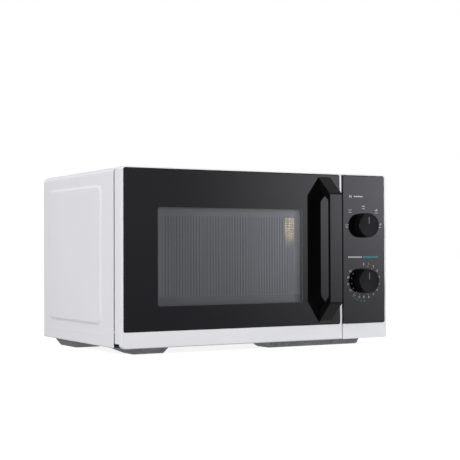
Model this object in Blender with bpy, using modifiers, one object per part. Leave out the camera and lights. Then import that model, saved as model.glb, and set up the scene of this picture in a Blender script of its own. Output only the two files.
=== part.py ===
"""Countertop microwave oven with two rotary controls, modelled as separate sub-parts.

Sizes are in millimetres in a working frame: X to the right, Y backwards from the face of the glass,
Z up from the floor. The oven_frame empty carries every part and centres the footprint on the origin.
"""

import math

import bmesh
import bpy
from mathutils import Matrix, Vector

MM = 0.001
TINY = 1e-5

# Driving dimensions
FRONT_WIDTH = 439.5
FRONT_HEIGHT = 246.0
FOOT_HEIGHT = 10.0
DOOR_DEPTH = 25.7
SEAM = 0.8
CASE_BACK = 299.0
SPACER_BACK = 313.0
PANEL_RAISE = 1.8
SHEET = 1.0
GAP = 0.3
GLASS_THICK = 3.0
SKIN = 2.5

HALF = FRONT_WIDTH / 2
BASE = FOOT_HEIGHT
TOP = BASE + FRONT_HEIGHT
CASE_FRONT = DOOR_DEPTH + SEAM
CASE_TOP = TOP - 0.3
CASE_ROUND = 7.0
CASE_REAR_ROUND = 14.0

# Door, its window and the control panel beside it
DOOR_RIGHT = 138.5
PANEL_LEFT = 139.5
DOOR_GLASS = (-216.5, 134.4)
PANEL_GLASS = (140.3, 216.5)
GLASS_BOTTOM = BASE + 22.5
GLASS_TOP = BASE + 243.9
WINDOW = (-165.0, 67.7, BASE + 57.0, BASE + 190.6)
HINGE_X = -HALF + 4.5
HINGE_Y = DOOR_DEPTH - 4.5
NOTCH_HEIGHT = 6.5
TOP_NOTCH = 4.2
PIN_RADIUS = 2.0
PIN_BORE = 2.35

# Handle on the door
HANDLE_LEFT = 96.5
HANDLE_WIDTH = 21.5
HANDLE_REACH = 30.0

# Cooking cavity, and the turntable on its floor
CAVITY = (-203.0, 106.0, BASE + 23.0, BASE + 225.0)
CAVITY_FRONT = 28.1
CAVITY_BACK = 291.0
TURN_X = (CAVITY[0] + CAVITY[1]) / 2
TURN_Y = 158.0
FLOOR = CAVITY[2]
WHEEL_RADIUS = 7.5
WHEEL_TRACK = 92.0
TRAY_RADIUS = 122.5
TRAY_UNDER = FLOOR + 2 * WHEEL_RADIUS + 2 * GAP

# Controls
KNOB_X = 178.0
POWER_Z = BASE + 169.2
TIMER_Z = BASE + 86.2
KNOB_RADIUS = 18.6
KNOB_REACH = 16.0

# Door latch
LATCH_X = 125.0
HOOK_LOW = BASE + 52.0
HOOK_HIGH = BASE + 195.0

# Screws in the wrapper's rear flange
SCREW_PLACES = [(side * (HALF - 8.5), BASE + height) for side in (-1, 1) for height in (60.0, 200.0)]

# Component bay
BAY_LEFT = CAVITY[1] + SHEET + GAP
WAVE_Y = (150.0, 214.0)
WAVE_Z = (BASE + 108.0, BASE + 200.0)
MAGNETRON_X = (136.0, 206.0)
FAN_X = 166.0
FAN_Z = BASE + 180.0
FAN_RADIUS = 46.0

AXIS_FRAMES = {
    "x": Matrix(((0, 0, 1), (1, 0, 0), (0, 1, 0))).to_4x4(),
    "y": Matrix(((1, 0, 0), (0, 0, -1), (0, 1, 0))).to_4x4(),
    "z": Matrix.Identity(4),
}


def clear_scene():
    for item in list(bpy.data.objects):
        bpy.data.objects.remove(item)


def new_collection(name):
    group = bpy.data.collections.new(name)
    bpy.context.scene.collection.children.link(group)
    return group


clear_scene()
OVEN = new_collection("microwave_oven")
CUTTERS = new_collection("cutters")


# Materials

def material(name, color, roughness, metallic=0.0, alpha=1.0):
    finish = bpy.data.materials.new(name)
    finish.use_nodes = True
    shader = finish.node_tree.nodes["Principled BSDF"]
    shader.inputs["Base Color"].default_value = (*color, 1.0)
    shader.inputs["Roughness"].default_value = roughness
    shader.inputs["Metallic"].default_value = metallic
    shader.inputs["Alpha"].default_value = alpha
    finish.diffuse_color = (*color, alpha)
    return finish


WHITE_PAINT = material("white_paint", (0.72, 0.72, 0.74), 0.35)
WHITE_PLASTIC = material("white_plastic", (0.75, 0.75, 0.77), 0.4)
BLACK_GLASS = material("black_glass", (0.02, 0.02, 0.022), 0.05)
CLEAR_SHEET = material("clear_sheet", (0.8, 0.8, 0.8), 0.1, alpha=0.3)
TRAY_GLASS = material("tray_glass", (0.8, 0.9, 0.88), 0.05, alpha=0.35)
BLACK_PLASTIC = material("black_plastic", (0.03, 0.03, 0.03), 0.35)
HANDLE_GREY = material("handle_grey", (0.07, 0.07, 0.075), 0.35)
CHOKE_PLASTIC = material("choke_plastic", (0.05, 0.05, 0.055), 0.5)
SCREEN_STEEL = material("screen_steel", (0.06, 0.06, 0.065), 0.45)
CAVITY_ENAMEL = material("cavity_enamel", (0.55, 0.55, 0.54), 0.4)
ZINC_STEEL = material("zinc_steel", (0.35, 0.37, 0.38), 0.42, 0.9)
BRACKET_STEEL = material("bracket_steel", (0.05, 0.05, 0.055), 0.4, 0.6)
ALUMINIUM = material("aluminium", (0.78, 0.79, 0.8), 0.3, 1.0)
CORE_STEEL = material("core_steel", (0.22, 0.22, 0.23), 0.5, 0.8)
COPPER = material("copper", (0.55, 0.25, 0.12), 0.35, 0.9)
NATURAL_PLASTIC = material("natural_plastic", (0.6, 0.59, 0.55), 0.5)
MICA = material("mica", (0.5, 0.45, 0.36), 0.55)
BULB_GLASS = material("bulb_glass", (0.95, 0.85, 0.6), 0.1, alpha=0.5)
CIRCUIT_BOARD = material("circuit_board", (0.35, 0.24, 0.1), 0.5)
SPRING_STEEL = material("spring_steel", (0.5, 0.5, 0.5), 0.3, 1.0)


# Shape helpers

def add_object(name, mesh, finish, group=OVEN):
    part = bpy.data.objects.new(name, mesh)
    group.objects.link(part)
    if finish:
        mesh.materials.append(finish)
    return part


def finish_mesh(name, shape, finish, group=OVEN):
    """Turn a bmesh into an object of its own, with flat faces kept sharp and round ones smooth."""
    mesh = bpy.data.meshes.new(name)
    shape.to_mesh(mesh)
    shape.free()
    mesh.shade_smooth()
    mesh.set_sharp_from_angle(angle=math.radians(35))
    return add_object(name, mesh, finish, group)


def round_edges(shape, radius, steps, chosen):
    """Round the edges for which chosen(middle, way) is true; middle is in millimetres."""
    edges = []
    for edge in shape.edges:
        start, end = (vert.co / MM for vert in edge.verts)
        if chosen((start + end) / 2, (end - start).normalized()):
            edges.append(edge)
    bmesh.ops.bevel(shape, geom=edges, offset=radius * MM, offset_type="OFFSET", segments=steps,
                    profile=0.5, affect="EDGES")


def add_block(shape, low, high, along=None, corner=0.0, steps=3, rim=0.0, ends=(-1, 1)):
    """A box between two corners. The edges along one axis are rounded to corner, and the
    outlines of its ends to rim."""
    block = bmesh.new()
    bmesh.ops.create_cube(block, size=1.0)
    low, high = Vector(low), Vector(high)
    bmesh.ops.scale(block, vec=(high - low) * MM, verts=block.verts)
    bmesh.ops.translate(block, vec=(low + high) / 2 * MM, verts=block.verts)
    axis = "xyz".index(along or "z")
    if corner:
        round_edges(block, corner, steps, lambda middle, way: abs(way[axis]) > 0.9)
    for end in ends if rim else ():
        level = (high if end > 0 else low)[axis]
        round_edges(block, rim, 2, lambda middle, way: (abs(middle[axis] - level) < 0.01
                                                        and abs(way[axis]) < 0.1))
    mesh = bpy.data.meshes.new("block")
    block.to_mesh(mesh)
    block.free()
    shape.from_mesh(mesh)
    bpy.data.meshes.remove(mesh)


def add_rod(shape, start, end, radius, end_radius=None, sides=20):
    """A round rod between two points, or a cone where the end has its own radius."""
    start, end = Vector(start) * MM, Vector(end) * MM
    turn = Vector((0, 0, 1)).rotation_difference(end - start).to_matrix().to_4x4()
    bmesh.ops.create_cone(shape, cap_ends=True, segments=sides, radius1=radius * MM,
                          radius2=(radius if end_radius is None else end_radius) * MM,
                          depth=(end - start).length,
                          matrix=Matrix.Translation((start + end) / 2) @ turn)


def block(name, low, high, finish, **rounding):
    shape = bmesh.new()
    add_block(shape, low, high, **rounding)
    return finish_mesh(name, shape, finish)


def rod(name, start, end, radius, finish, **options):
    shape = bmesh.new()
    add_rod(shape, start, end, radius, **options)
    return finish_mesh(name, shape, finish)


def use_tool(target, name, shape, operation):
    """Keep a shape as a hidden tool that a Boolean on the target reads."""
    tool = finish_mesh(name, shape, None, CUTTERS)
    tool.hide_render = True
    tool.display_type = "WIRE"
    step = target.modifiers.new(name, "BOOLEAN")
    step.operation = operation
    step.object = tool
    return tool


def cut_blocks(target, name, boxes, **rounding):
    shape = bmesh.new()
    for low, high in boxes:
        add_block(shape, low, high, **rounding)
    return use_tool(target, name, shape, "DIFFERENCE")


def cut_rods(target, name, rods, sides=20):
    shape = bmesh.new()
    for start, end, radius in rods:
        add_rod(shape, start, end, radius, sides=sides)
    return use_tool(target, name, shape, "DIFFERENCE")


def join_blocks(target, name, boxes, **rounding):
    for number, (low, high) in enumerate(boxes, 1):
        shape = bmesh.new()
        add_block(shape, low, high, **rounding)
        use_tool(target, f"{name}_{number}", shape, "UNION")


def join_rods(target, name, rods, sides=20):
    for number, (start, end, radius) in enumerate(rods, 1):
        shape = bmesh.new()
        add_rod(shape, start, end, radius, sides=sides)
        use_tool(target, f"{name}_{number}", shape, "UNION")


def fillet(corners, steps=4):
    """Round the corners (u, v, radius) of an outline; each arc touches both of its sides."""
    points = []
    for index, (u, v, radius) in enumerate(corners):
        here = Vector((u, v))
        if not radius:
            points.append(here)
            continue
        back = (Vector(corners[index - 1][:2]) - here).normalized()
        ahead = (Vector(corners[(index + 1) % len(corners)][:2]) - here).normalized()
        half_angle = math.acos(max(-1, min(1, back.dot(ahead)))) / 2
        reach = radius / math.tan(half_angle)
        centre = here + (back + ahead).normalized() * radius / math.sin(half_angle)
        start, end = here + back * reach - centre, here + ahead * reach - centre
        sweep = start.angle_signed(end)
        for step in range(steps + 1):
            turn = Matrix.Rotation(-sweep * step / steps, 2)
            points.append(centre + turn @ start)
    return points


def add_plate(shape, outline, axis, low, high):
    """A filled outline, extruded by half its thickness each way, across the given axis.
    The outline is (Y, Z) across x, (X, Z) across y and (X, Y) across z."""
    curve = bpy.data.curves.new("outline", "CURVE")
    curve.dimensions = "2D"
    curve.fill_mode = "BOTH"
    curve.extrude = (high - low) / 2 * MM
    spline = curve.splines.new("POLY")
    spline.points.add(len(outline) - 1)
    spline.use_cyclic_u = True
    for point, (u, v) in zip(spline.points, outline):
        point.co = (u * MM, v * MM, 0, 1)
    drawn = bpy.data.objects.new("outline", curve)
    CUTTERS.objects.link(drawn)
    mesh = bpy.data.meshes.new_from_object(drawn.evaluated_get(bpy.context.evaluated_depsgraph_get()))
    bpy.data.objects.remove(drawn)
    plate = bmesh.new()
    plate.from_mesh(mesh)
    bmesh.ops.remove_doubles(plate, verts=plate.verts, dist=TINY)
    bmesh.ops.dissolve_limit(plate, angle_limit=0.01, verts=plate.verts, edges=plate.edges)
    offset = Vector((0, 0, 0))
    offset["xyz".index(axis)] = (low + high) / 2 * MM
    bmesh.ops.transform(plate, matrix=Matrix.Translation(offset) @ AXIS_FRAMES[axis], verts=plate.verts)
    bmesh.ops.recalc_face_normals(plate, faces=plate.faces)
    plate.to_mesh(mesh)
    plate.free()
    shape.from_mesh(mesh)
    bpy.data.meshes.remove(mesh)


def plate(name, outline, axis, low, high, finish, rim=0.0):
    """A plate of its own, with the outlines of both ends rounded to rim."""
    shape = bmesh.new()
    add_plate(shape, outline, axis, low, high)
    if rim:
        way_index = "xyz".index(axis)
        round_edges(shape, rim, 2, lambda middle, way: abs(way[way_index]) < 0.01)
    return finish_mesh(name, shape, finish)


def box_outline(low_u, high_u, low_v, high_v, radius, steps=4):
    return fillet([(low_u, low_v, radius), (high_u, low_v, radius), (high_u, high_v, radius),
                   (low_u, high_v, radius)], steps)


def turned(name, profile, centre, way, finish, steps=28, closed=False):
    """A profile of (radius, height) points, outer side top to bottom, swept round an axis."""
    mesh = bpy.data.meshes.new(name)
    count = len(profile)
    edges = [(index, (index + 1) % count) for index in range(count if closed else count - 1)]
    mesh.from_pydata([(radius * MM, 0, height * MM) for radius, height in profile], edges, [])
    part = add_object(name, mesh, finish)
    part.location = Vector(centre) * MM
    part.rotation_euler = Vector((0, 0, 1)).rotation_difference(Vector(way)).to_euler()
    sweep = part.modifiers.new("turn", "SCREW")
    sweep.steps = sweep.render_steps = steps
    sweep.use_merge_vertices = True
    sweep.merge_threshold = TINY
    return part


def smooth_route(corners, spans=5):
    """Points along a smooth curve that passes through every corner."""
    ends = [corners[0], *corners, corners[-1]]
    points = []
    for first, start, end, last in zip(ends, ends[1:], ends[2:], ends[3:]):
        first, start, end, last = (Vector(point) for point in (first, start, end, last))
        for step in range(spans):
            t = step / spans
            points.append(0.5 * (2 * start + (end - first) * t + (2 * first - 5 * start + 4 * end - last)
                                 * t * t + (3 * start - first - 3 * end + last) * t ** 3))
    points.append(Vector(corners[-1]))
    return points


def wire(name, points, radius, finish):
    curve = bpy.data.curves.new(name, "CURVE")
    curve.dimensions = "3D"
    curve.bevel_depth = radius * MM
    curve.bevel_resolution = 2
    curve.use_fill_caps = True
    spline = curve.splines.new("POLY")
    spline.points.add(len(points) - 1)
    for point, place in zip(spline.points, points):
        point.co = (*(Vector(place) * MM), 1)
    return add_object(name, curve, finish)


# Casing, base and back

def casing_solid(name, inset, finish, group):
    """The wrapper's full form: its side outline has the large rear-top bend, and its long edges
    and upright rear corners are rounded. It runs past the front and the bottom, to be trimmed."""
    past = 15.0
    outline = fillet([(CASE_FRONT - past, BASE - past, 0), (CASE_BACK - inset, BASE - past, 0),
                      (CASE_BACK - inset, CASE_TOP - inset, CASE_REAR_ROUND - inset),
                      (CASE_FRONT - past, CASE_TOP - inset, 0)], 5)
    shape = bmesh.new()
    add_plate(shape, outline, "x", -HALF + inset, HALF - inset)
    round_edges(shape, CASE_ROUND - inset, 3,
                lambda middle, way: abs(way.x) < 0.01
                and (middle.z > CASE_TOP - CASE_REAR_ROUND - 1 or middle.y > CASE_BACK - 2))
    return finish_mesh(name, shape, finish, group)


def raised_panels(inset):
    """The rounded panel that stands out of each side, with a bent rim."""
    shape = bmesh.new()
    low = (67.0 + inset, BASE + 28.8 + inset)
    high = (270.0 - inset, BASE + 224.5 - inset)
    reach = HALF + PANEL_RAISE - inset
    for side in (-1, 1):
        first, last = sorted((side * (HALF - 6), side * reach))
        add_block(shape, (first, *low), (last, *high), along="x", corner=15.0 - inset, steps=4,
                  rim=1.4, ends=(side,))
    return shape


def outer_casing():
    casing = casing_solid("outer_casing", 0.0, WHITE_PAINT, OVEN)
    use_tool(casing, "side_panels", raised_panels(0.0), "UNION")
    hollow = casing_solid("casing_hollow", SHEET, None, CUTTERS)
    hollow.hide_render = True
    hollow.display_type = "WIRE"
    use_tool(hollow, "side_panel_hollows", raised_panels(SHEET), "UNION")
    step = casing.modifiers.new("hollow", "BOOLEAN")
    step.operation = "DIFFERENCE"
    step.object = hollow
    far = 30.0
    cut_blocks(casing, "casing_trim_front", [((-HALF - far, -far, -far), (HALF + far, CASE_FRONT,
                                                                          TOP + far))])
    cut_blocks(casing, "casing_trim_bottom", [((-HALF - far, 0, -far), (HALF + far, CASE_BACK + far,
                                                                        BASE))])
    flange = 13.0
    cut_blocks(casing, "casing_back_opening",
               [((-HALF + flange, CASE_BACK - 6, BASE - 5), (HALF - flange, CASE_BACK + 6, TOP - 24))])
    slots = [((HALF - 6, 205 + 8 * row, BASE + 52), (HALF + 6, 208.5 + 8 * row, BASE + 92))
             for row in range(7)]
    cut_blocks(casing, "casing_vents", slots)
    cut_rods(casing, "screw_holes", [((x, CASE_BACK - 4, z), (x, CASE_BACK + 4, z), 2.0)
                                     for x, z in SCREW_PLACES], sides=10)
    return casing


def add_pressing(shape, top, bottom, high, low):
    """A pressed foot: a block whose sides slope from its top outline to its smaller bottom one."""
    made = bmesh.ops.create_cube(shape, size=1.0)["verts"]
    for vert in made:
        outline, level = (top, high) if vert.co.z > 0 else (bottom, low)
        x = outline[1] if vert.co.x > 0 else outline[0]
        y = outline[3] if vert.co.y > 0 else outline[2]
        vert.co = Vector((x, y, level)) * MM


def base_plate():
    """Galvanised floor of the oven. Four hollow pressings in it are the feet."""
    side = HALF - SHEET - 0.6
    back = CASE_BACK - CASE_ROUND
    plate_part = block("base_plate", (-side, 27.0, BASE), (side, back, BASE + SHEET), ZINC_STEEL)
    feet = [((-214, -133, 27.4, 72), (-189, -143.5, 29, 62)),
            ((14, 190, 27.4, 72), (28, 184, 29, 62)),
            ((-216, -165, 156, 256), (-212.5, -175, 180, 240)),
            ((165, 216, 156, 256), (175, 212.5, 180, 240))]
    for number, (top, bottom) in enumerate(feet, 1):
        shape = bmesh.new()
        add_pressing(shape, top, bottom, BASE + SHEET / 2, 0.0)
        use_tool(plate_part, f"foot_{number}", shape, "UNION")
    for number, (top, bottom) in enumerate(feet, 1):
        inner_top = tuple(edge + shift for edge, shift in zip(top, (2, -2, 2, -2)))
        inner_bottom = tuple(edge + shift for edge, shift in zip(bottom, (2, -2, 2, -2)))
        shape = bmesh.new()
        add_pressing(shape, inner_top, inner_bottom, BASE + SHEET + 1, SHEET)
        use_tool(plate_part, f"foot_hollow_{number}", shape, "DIFFERENCE")
    return plate_part


def rear_panel():
    """Back cover with the fan's intake slots, the cord's hole and an outlet grille."""
    outline = box_outline(-HALF + 5.2, HALF - 5.2, BASE + SHEET + 0.5, BASE + 233, 6.0)
    panel = plate("rear_panel", outline, "y", CASE_BACK - 2.5, CASE_BACK - 1.5, WHITE_PAINT)
    boxes = []
    for row in range(-4, 5):
        z = FAN_Z + row * 9
        half = math.sqrt(max(0, (FAN_RADIUS - 2) ** 2 - (row * 9) ** 2))
        boxes.append(((FAN_X - half, CASE_BACK - 6, z - 2), (FAN_X + half, CASE_BACK + 2, z + 2)))
    for column in range(8):
        x = -180 + column * 14
        boxes.append(((x, CASE_BACK - 6, BASE + 190), (x + 4, CASE_BACK + 2, BASE + 215)))
    cut_blocks(panel, "rear_slots", boxes)
    cut_rods(panel, "cord_hole", [((185, CASE_BACK - 8, BASE + 40), (185, CASE_BACK + 4, BASE + 40),
                                   8.4)])
    return panel


def rear_spacer():
    """Plastic stop that keeps the oven off the wall."""
    spacer = block("rear_spacer", (-30, CASE_BACK - 1.2, BASE + 176), (30, SPACER_BACK, BASE + 196),
                   WHITE_PLASTIC, along="y", corner=6.0, rim=2.0, ends=(1,))
    cut_blocks(spacer, "spacer_hollow", [((-25, CASE_BACK - 4, BASE + 180),
                                          (25, SPACER_BACK - 3, BASE + 192))])
    return spacer


def cord_gland():
    """Bush that the cord comes in through: flange outside, neck through the panel, open bore."""
    profile = [(4.2, 9.0), (7.5, 9.0), (11.0, 6.5), (11.0, 3.3), (8.0, 3.3), (8.0, -6.0), (4.2, -6.0)]
    return turned("cord_gland", profile, (185, CASE_BACK - 4.5, BASE + 40), (0, 1, 0), BLACK_PLASTIC, 20,
                  True)


def casing_screws():
    """Pan-head screws that hold the wrapper's rear flange."""
    profile = [(0, 2.6), (2.4, 2.3), (3.6, 1.0), (3.6, 0), (1.6, 0), (1.6, -0.9), (0, -0.9)]
    return [turned(f"casing_screw_{number}", profile, (x, CASE_BACK + 0.3, z), (0, 1, 0), ZINC_STEEL, 12)
            for number, (x, z) in enumerate(SCREW_PLACES, 1)]


# Cooking cavity

def oven_cavity():
    """Welded steel box, open at the front, with the shaft hole, the waveguide's port, the lamp's
    perforations and steam slots."""
    left, right, low, high = CAVITY
    box = block("oven_cavity", (left - SHEET, CAVITY_FRONT, low - SHEET),
                (right + SHEET, CAVITY_BACK + SHEET, high + SHEET), CAVITY_ENAMEL,
                along="y", corner=8.0, rim=6.0, ends=(1,))
    cut_blocks(box, "cavity_room", [((left, CAVITY_FRONT - 20, low), (right, CAVITY_BACK, high))],
               along="y", corner=7.0, rim=5.0, ends=(1,))
    cut_rods(box, "shaft_hole", [((TURN_X, TURN_Y, low - 5), (TURN_X, TURN_Y, low + 5), 8.0)])
    cut_blocks(box, "waveguide_port", [((right - 4, 166, BASE + 114), (right + 4, 200, BASE + 150))])
    lamp_holes = [((right - 4, 80.0 + 6 * column, BASE + 152 + 6 * row),
                   (right + 4, 80.0 + 6 * column, BASE + 152 + 6 * row), 1.6)
                  for column in range(4) for row in range(5)]
    cut_rods(box, "lamp_holes", lamp_holes, sides=6)
    slots = [((left + 20 + 9 * column, CAVITY_BACK - 4, high - 40),
              (left + 23.5 + 9 * column, CAVITY_BACK + 4, high - 18)) for column in range(6)]
    cut_blocks(box, "steam_slots", slots)
    return box


def cavity_front_plate():
    """Door seat round the mouth of the cavity, with the two latch slots and the panel's opening."""
    outline = box_outline(-HALF + 2.2, HALF - 2.2, BASE + 4.0, TOP - 4.2, 5.0)
    plate_part = plate("cavity_front_plate", outline, "y", CASE_FRONT + 0.3, CASE_FRONT + 1.3,
                       WHITE_PAINT)
    left, right, low, high = CAVITY
    near, far = CASE_FRONT - 5, CASE_FRONT + 5
    cut_blocks(plate_part, "mouth", [((left, near, low), (right, far, high))], along="y", corner=7.0)
    cut_blocks(plate_part, "panel_opening", [((143.5, near, BASE + 12), (HALF - 6, far, TOP - 12))])
    cut_blocks(plate_part, "latch_slots",
               [((LATCH_X - 5, near, z - 10), (LATCH_X + 7, far, z + 12)) for z in (HOOK_LOW, HOOK_HIGH)])
    return plate_part


def waveguide():
    """Folded duct on the cavity's wall, closed except for its port and the antenna's hole."""
    low = (BAY_LEFT, WAVE_Y[0], WAVE_Z[0])
    high = (MAGNETRON_X[0] - GAP, WAVE_Y[1], WAVE_Z[1])
    guide = block("waveguide", low, high, ALUMINIUM)
    wall = 1.2
    cut_blocks(guide, "waveguide_room", [((low[0] - 5, low[1] + wall, low[2] + wall),
                                         (high[0] - wall, high[1] - wall, high[2] - wall))])
    cut_rods(guide, "antenna_hole", [((high[0] - 5, 182, BASE + 168), (high[0] + 5, 182, BASE + 168),
                                      12.0)])
    return guide


def waveguide_cover():
    inner = CAVITY[1] - GAP
    return block("waveguide_cover", (inner - 0.8, 158, BASE + 106), (inner, 208, BASE + 158), MICA,
                 along="x", corner=6.0)


def lamp():
    """Small bulb beside the cavity's perforations: glass pear with its metal cap."""
    profile = [(0, 26), (5, 25), (8.5, 21.5), (10, 17), (9, 11), (7, 7), (7, 0), (0, 0)]
    return turned("oven_lamp", profile, (BAY_LEFT + 30, 89, BASE + 164), (-1, 0, 0), BULB_GLASS, 16)


def lamp_holder():
    """Bracket on the cavity's wall with the socket that the bulb screws into."""
    face = BAY_LEFT + 30 + GAP
    holder = block("lamp_holder", (face, 78, BASE + 150), (face + 3, 100, BASE + 178), NATURAL_PLASTIC)
    join_rods(holder, "socket", [((face + 2, 89, BASE + 164), (face + 18, 89, BASE + 164), 9.0)])
    join_blocks(holder, "holder_leg", [((BAY_LEFT, 78, BASE + 175), (face + 2, 100, BASE + 178))])
    return holder


# Turntable

def turntable_motor():
    """Flat synchronous motor under the cavity's floor, with its two ears."""
    top = FLOOR - SHEET - GAP
    motor = rod("turntable_motor", (TURN_X, TURN_Y, BASE + 3), (TURN_X, TURN_Y, top), 24.5, ALUMINIUM,
                sides=32)
    join_blocks(motor, "motor_ears", [((TURN_X - 33, TURN_Y - 6, top - 1.5),
                                       (TURN_X + 33, TURN_Y + 6, top))],
                along="z", corner=4.0)
    return motor


def turntable_coupler():
    """Hub on the motor's shaft. Three lobes key it into the tray's underside."""
    top = TRAY_UNDER - GAP - FLOOR
    profile = [(0, top), (17, top), (17, top - 6), (6, top - 8), (5, 4), (5, -0.7), (0, -0.7)]
    return turned("turntable_coupler", profile, (TURN_X, TURN_Y, FLOOR), (0, 0, 1), NATURAL_PLASTIC, 24)


def turntable_tray():
    """Glass dish: flat bottom, raised rim."""
    profile = [(0, 4.0), (98, 4.0), (112, 10.5), (TRAY_RADIUS - 2, 13.0), (TRAY_RADIUS, 11.8),
               (TRAY_RADIUS - 0.5, 9.8), (113, 6.5), (101, 0), (0, 0)]
    return turned("turntable_tray", profile, (TURN_X, TURN_Y, TRAY_UNDER), (0, 0, 1), TRAY_GLASS, 40)


def roller_ring():
    """Ring with three stub axles that stand out of its rim."""
    middle = FLOOR + GAP + WHEEL_RADIUS
    profile = [(79, 2.5), (86, 2.5), (86, -2.5), (79, -2.5)]
    ring = turned("roller_ring", profile, (TURN_X, TURN_Y, middle), (0, 0, 1), NATURAL_PLASTIC, 36, True)
    axles = []
    for number in range(3):
        angle = wheel_angle(number)
        way = Vector((math.cos(angle), math.sin(angle), 0))
        centre = Vector((TURN_X, TURN_Y, middle))
        axles.append((centre + way * 84, centre + way * 94, 1.6))
    join_rods(ring, "axle", axles, sides=12)
    return ring


def wheel_angle(number):
    return math.radians(90 + 120 * number)


def roller_wheels():
    """Wheels with a blind bore that turn on the ring's stub axles."""
    profile = [(0, 3.8), (6.5, 3.8), (WHEEL_RADIUS, 2.8), (WHEEL_RADIUS, -2.5), (6.5, -3.5), (2.0, -3.5),
               (2.0, 2.8), (0, 2.8)]
    wheels = []
    for number in range(3):
        angle = wheel_angle(number)
        way = Vector((math.cos(angle), math.sin(angle), 0))
        centre = Vector((TURN_X, TURN_Y, FLOOR + GAP + WHEEL_RADIUS)) + way * WHEEL_TRACK
        wheels.append(turned(f"roller_wheel_{number + 1}", profile, centre, way, NATURAL_PLASTIC, 20))
    return wheels


# Microwave source and power supply

def magnetron():
    """Steel yoke round the finned anode, the antenna on its left and the filter box on its right."""
    left, right = MAGNETRON_X
    y0, y1, z0, z1 = 152.0, 212.0, BASE + 128.0, BASE + 208.0
    yoke = block("magnetron_yoke", (left, y0, z0), (right, y1, z1), ZINC_STEEL)
    cut_blocks(yoke, "yoke_room", [((left + 2, y0 - 5, z0 + 2), (right - 2, y1 + 5, z1 - 2))])
    centre = (182.0, BASE + 168.0)
    cut_rods(yoke, "yoke_holes", [((left - 5, *centre), (right + 5, *centre), 11.0)])
    fins = rod("magnetron_fins", (left - 20, *centre), (right - 4, *centre), 9.5, ALUMINIUM, sides=20)
    join_rods(fins, "anode", [((left + 12, *centre), (right - 14, *centre), 19.0)])
    for number in range(5):
        x = left + 17 + number * 8
        join_blocks(fins, f"fin_{number}", [((x, y0 + 1, z0 + 8), (x + 1.2, y1 - 1, z1 - 8))])
    box = block("magnetron_filter_box", (right + GAP, 164, BASE + 150), (right + 11, 202, BASE + 188),
                ZINC_STEEL)
    cutout = rod("thermal_cutout", (170, 182, z1 + GAP), (170, 182, z1 + 9), 8.0, BLACK_PLASTIC, sides=16)
    return [yoke, fins, box, cutout]


def transformer():
    """Laminated core with the primary and secondary windings round its middle limb."""
    x0, x1, y0, y1, z0, z1 = 118.0, 200.0, 160.0, 232.0, BASE + 3.0, BASE + 69.0
    core = block("transformer_core", (x0, y0 + 14, z0), (x1, y1 - 14, z1), CORE_STEEL)
    limb = 12.0
    window_z = (z0 + limb, z1 - limb)
    middle = (x0 + x1) / 2
    cut_blocks(core, "core_windows", [((x0 + limb, y0, window_z[0]), (middle - limb, y1, window_z[1])),
                                      ((middle + limb, y0, window_z[0]), (x1 - limb, y1, window_z[1]))])
    parts = [core]
    heights = (("primary_winding", window_z[0] + GAP, window_z[0] + 19.5, COPPER),
               ("secondary_winding", window_z[0] + 21.0, window_z[1] - GAP, COPPER))
    for name, low, high, finish in heights:
        winding = block(name, (x0 + limb + 1, y0, low), (x1 - limb - 1, y1, high), finish,
                        along="z", corner=8.0)
        cut_blocks(winding, f"{name}_core",
                   [((middle - limb - GAP, y0 + 14 - GAP, low - 5), (middle + limb + GAP, y1 - 14 + GAP,
                                                                     high + 5))])
        parts.append(winding)
    return parts


def capacitor():
    """Oval high-voltage can with its strap, and the diode beside it."""
    outline = box_outline(150, 202, 92, 124, 15.9, 6)
    can = plate("capacitor", outline, "z", BASE + 3, BASE + 82, ALUMINIUM)
    join_rods(can, "terminals", [((165, 108, BASE + 81), (165, 108, BASE + 92), 4.0),
                                 ((187, 108, BASE + 81), (187, 108, BASE + 92), 4.0)], sides=8)
    strap = plate("capacitor_strap", box_outline(147.7, 204.3, 89.7, 126.3, 18.2, 6), "z",
                  BASE + 40, BASE + 52, ZINC_STEEL)
    hollow = bmesh.new()
    add_plate(hollow, box_outline(150 - GAP, 202 + GAP, 92 - GAP, 124 + GAP, 16.2, 6), "z", BASE + 35,
              BASE + 60)
    use_tool(strap, "strap_hollow", hollow, "DIFFERENCE")
    diode = rod("high_voltage_diode", (128, 96, BASE + 8), (128, 120, BASE + 8), 3.5, BLACK_PLASTIC,
                sides=12)
    return [can, strap, diode]


def high_voltage_lead():
    route = [(165, 108, BASE + 93.5), (163, 112, BASE + 104), (175, 128, BASE + 116),
             (204, 142, BASE + 124),
             (212, 162, BASE + 131), (212, 177, BASE + 138), (212, 182, BASE + 147.5)]
    return wire("high_voltage_lead", smooth_route(route, 4), 1.7, NATURAL_PLASTIC)


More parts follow.
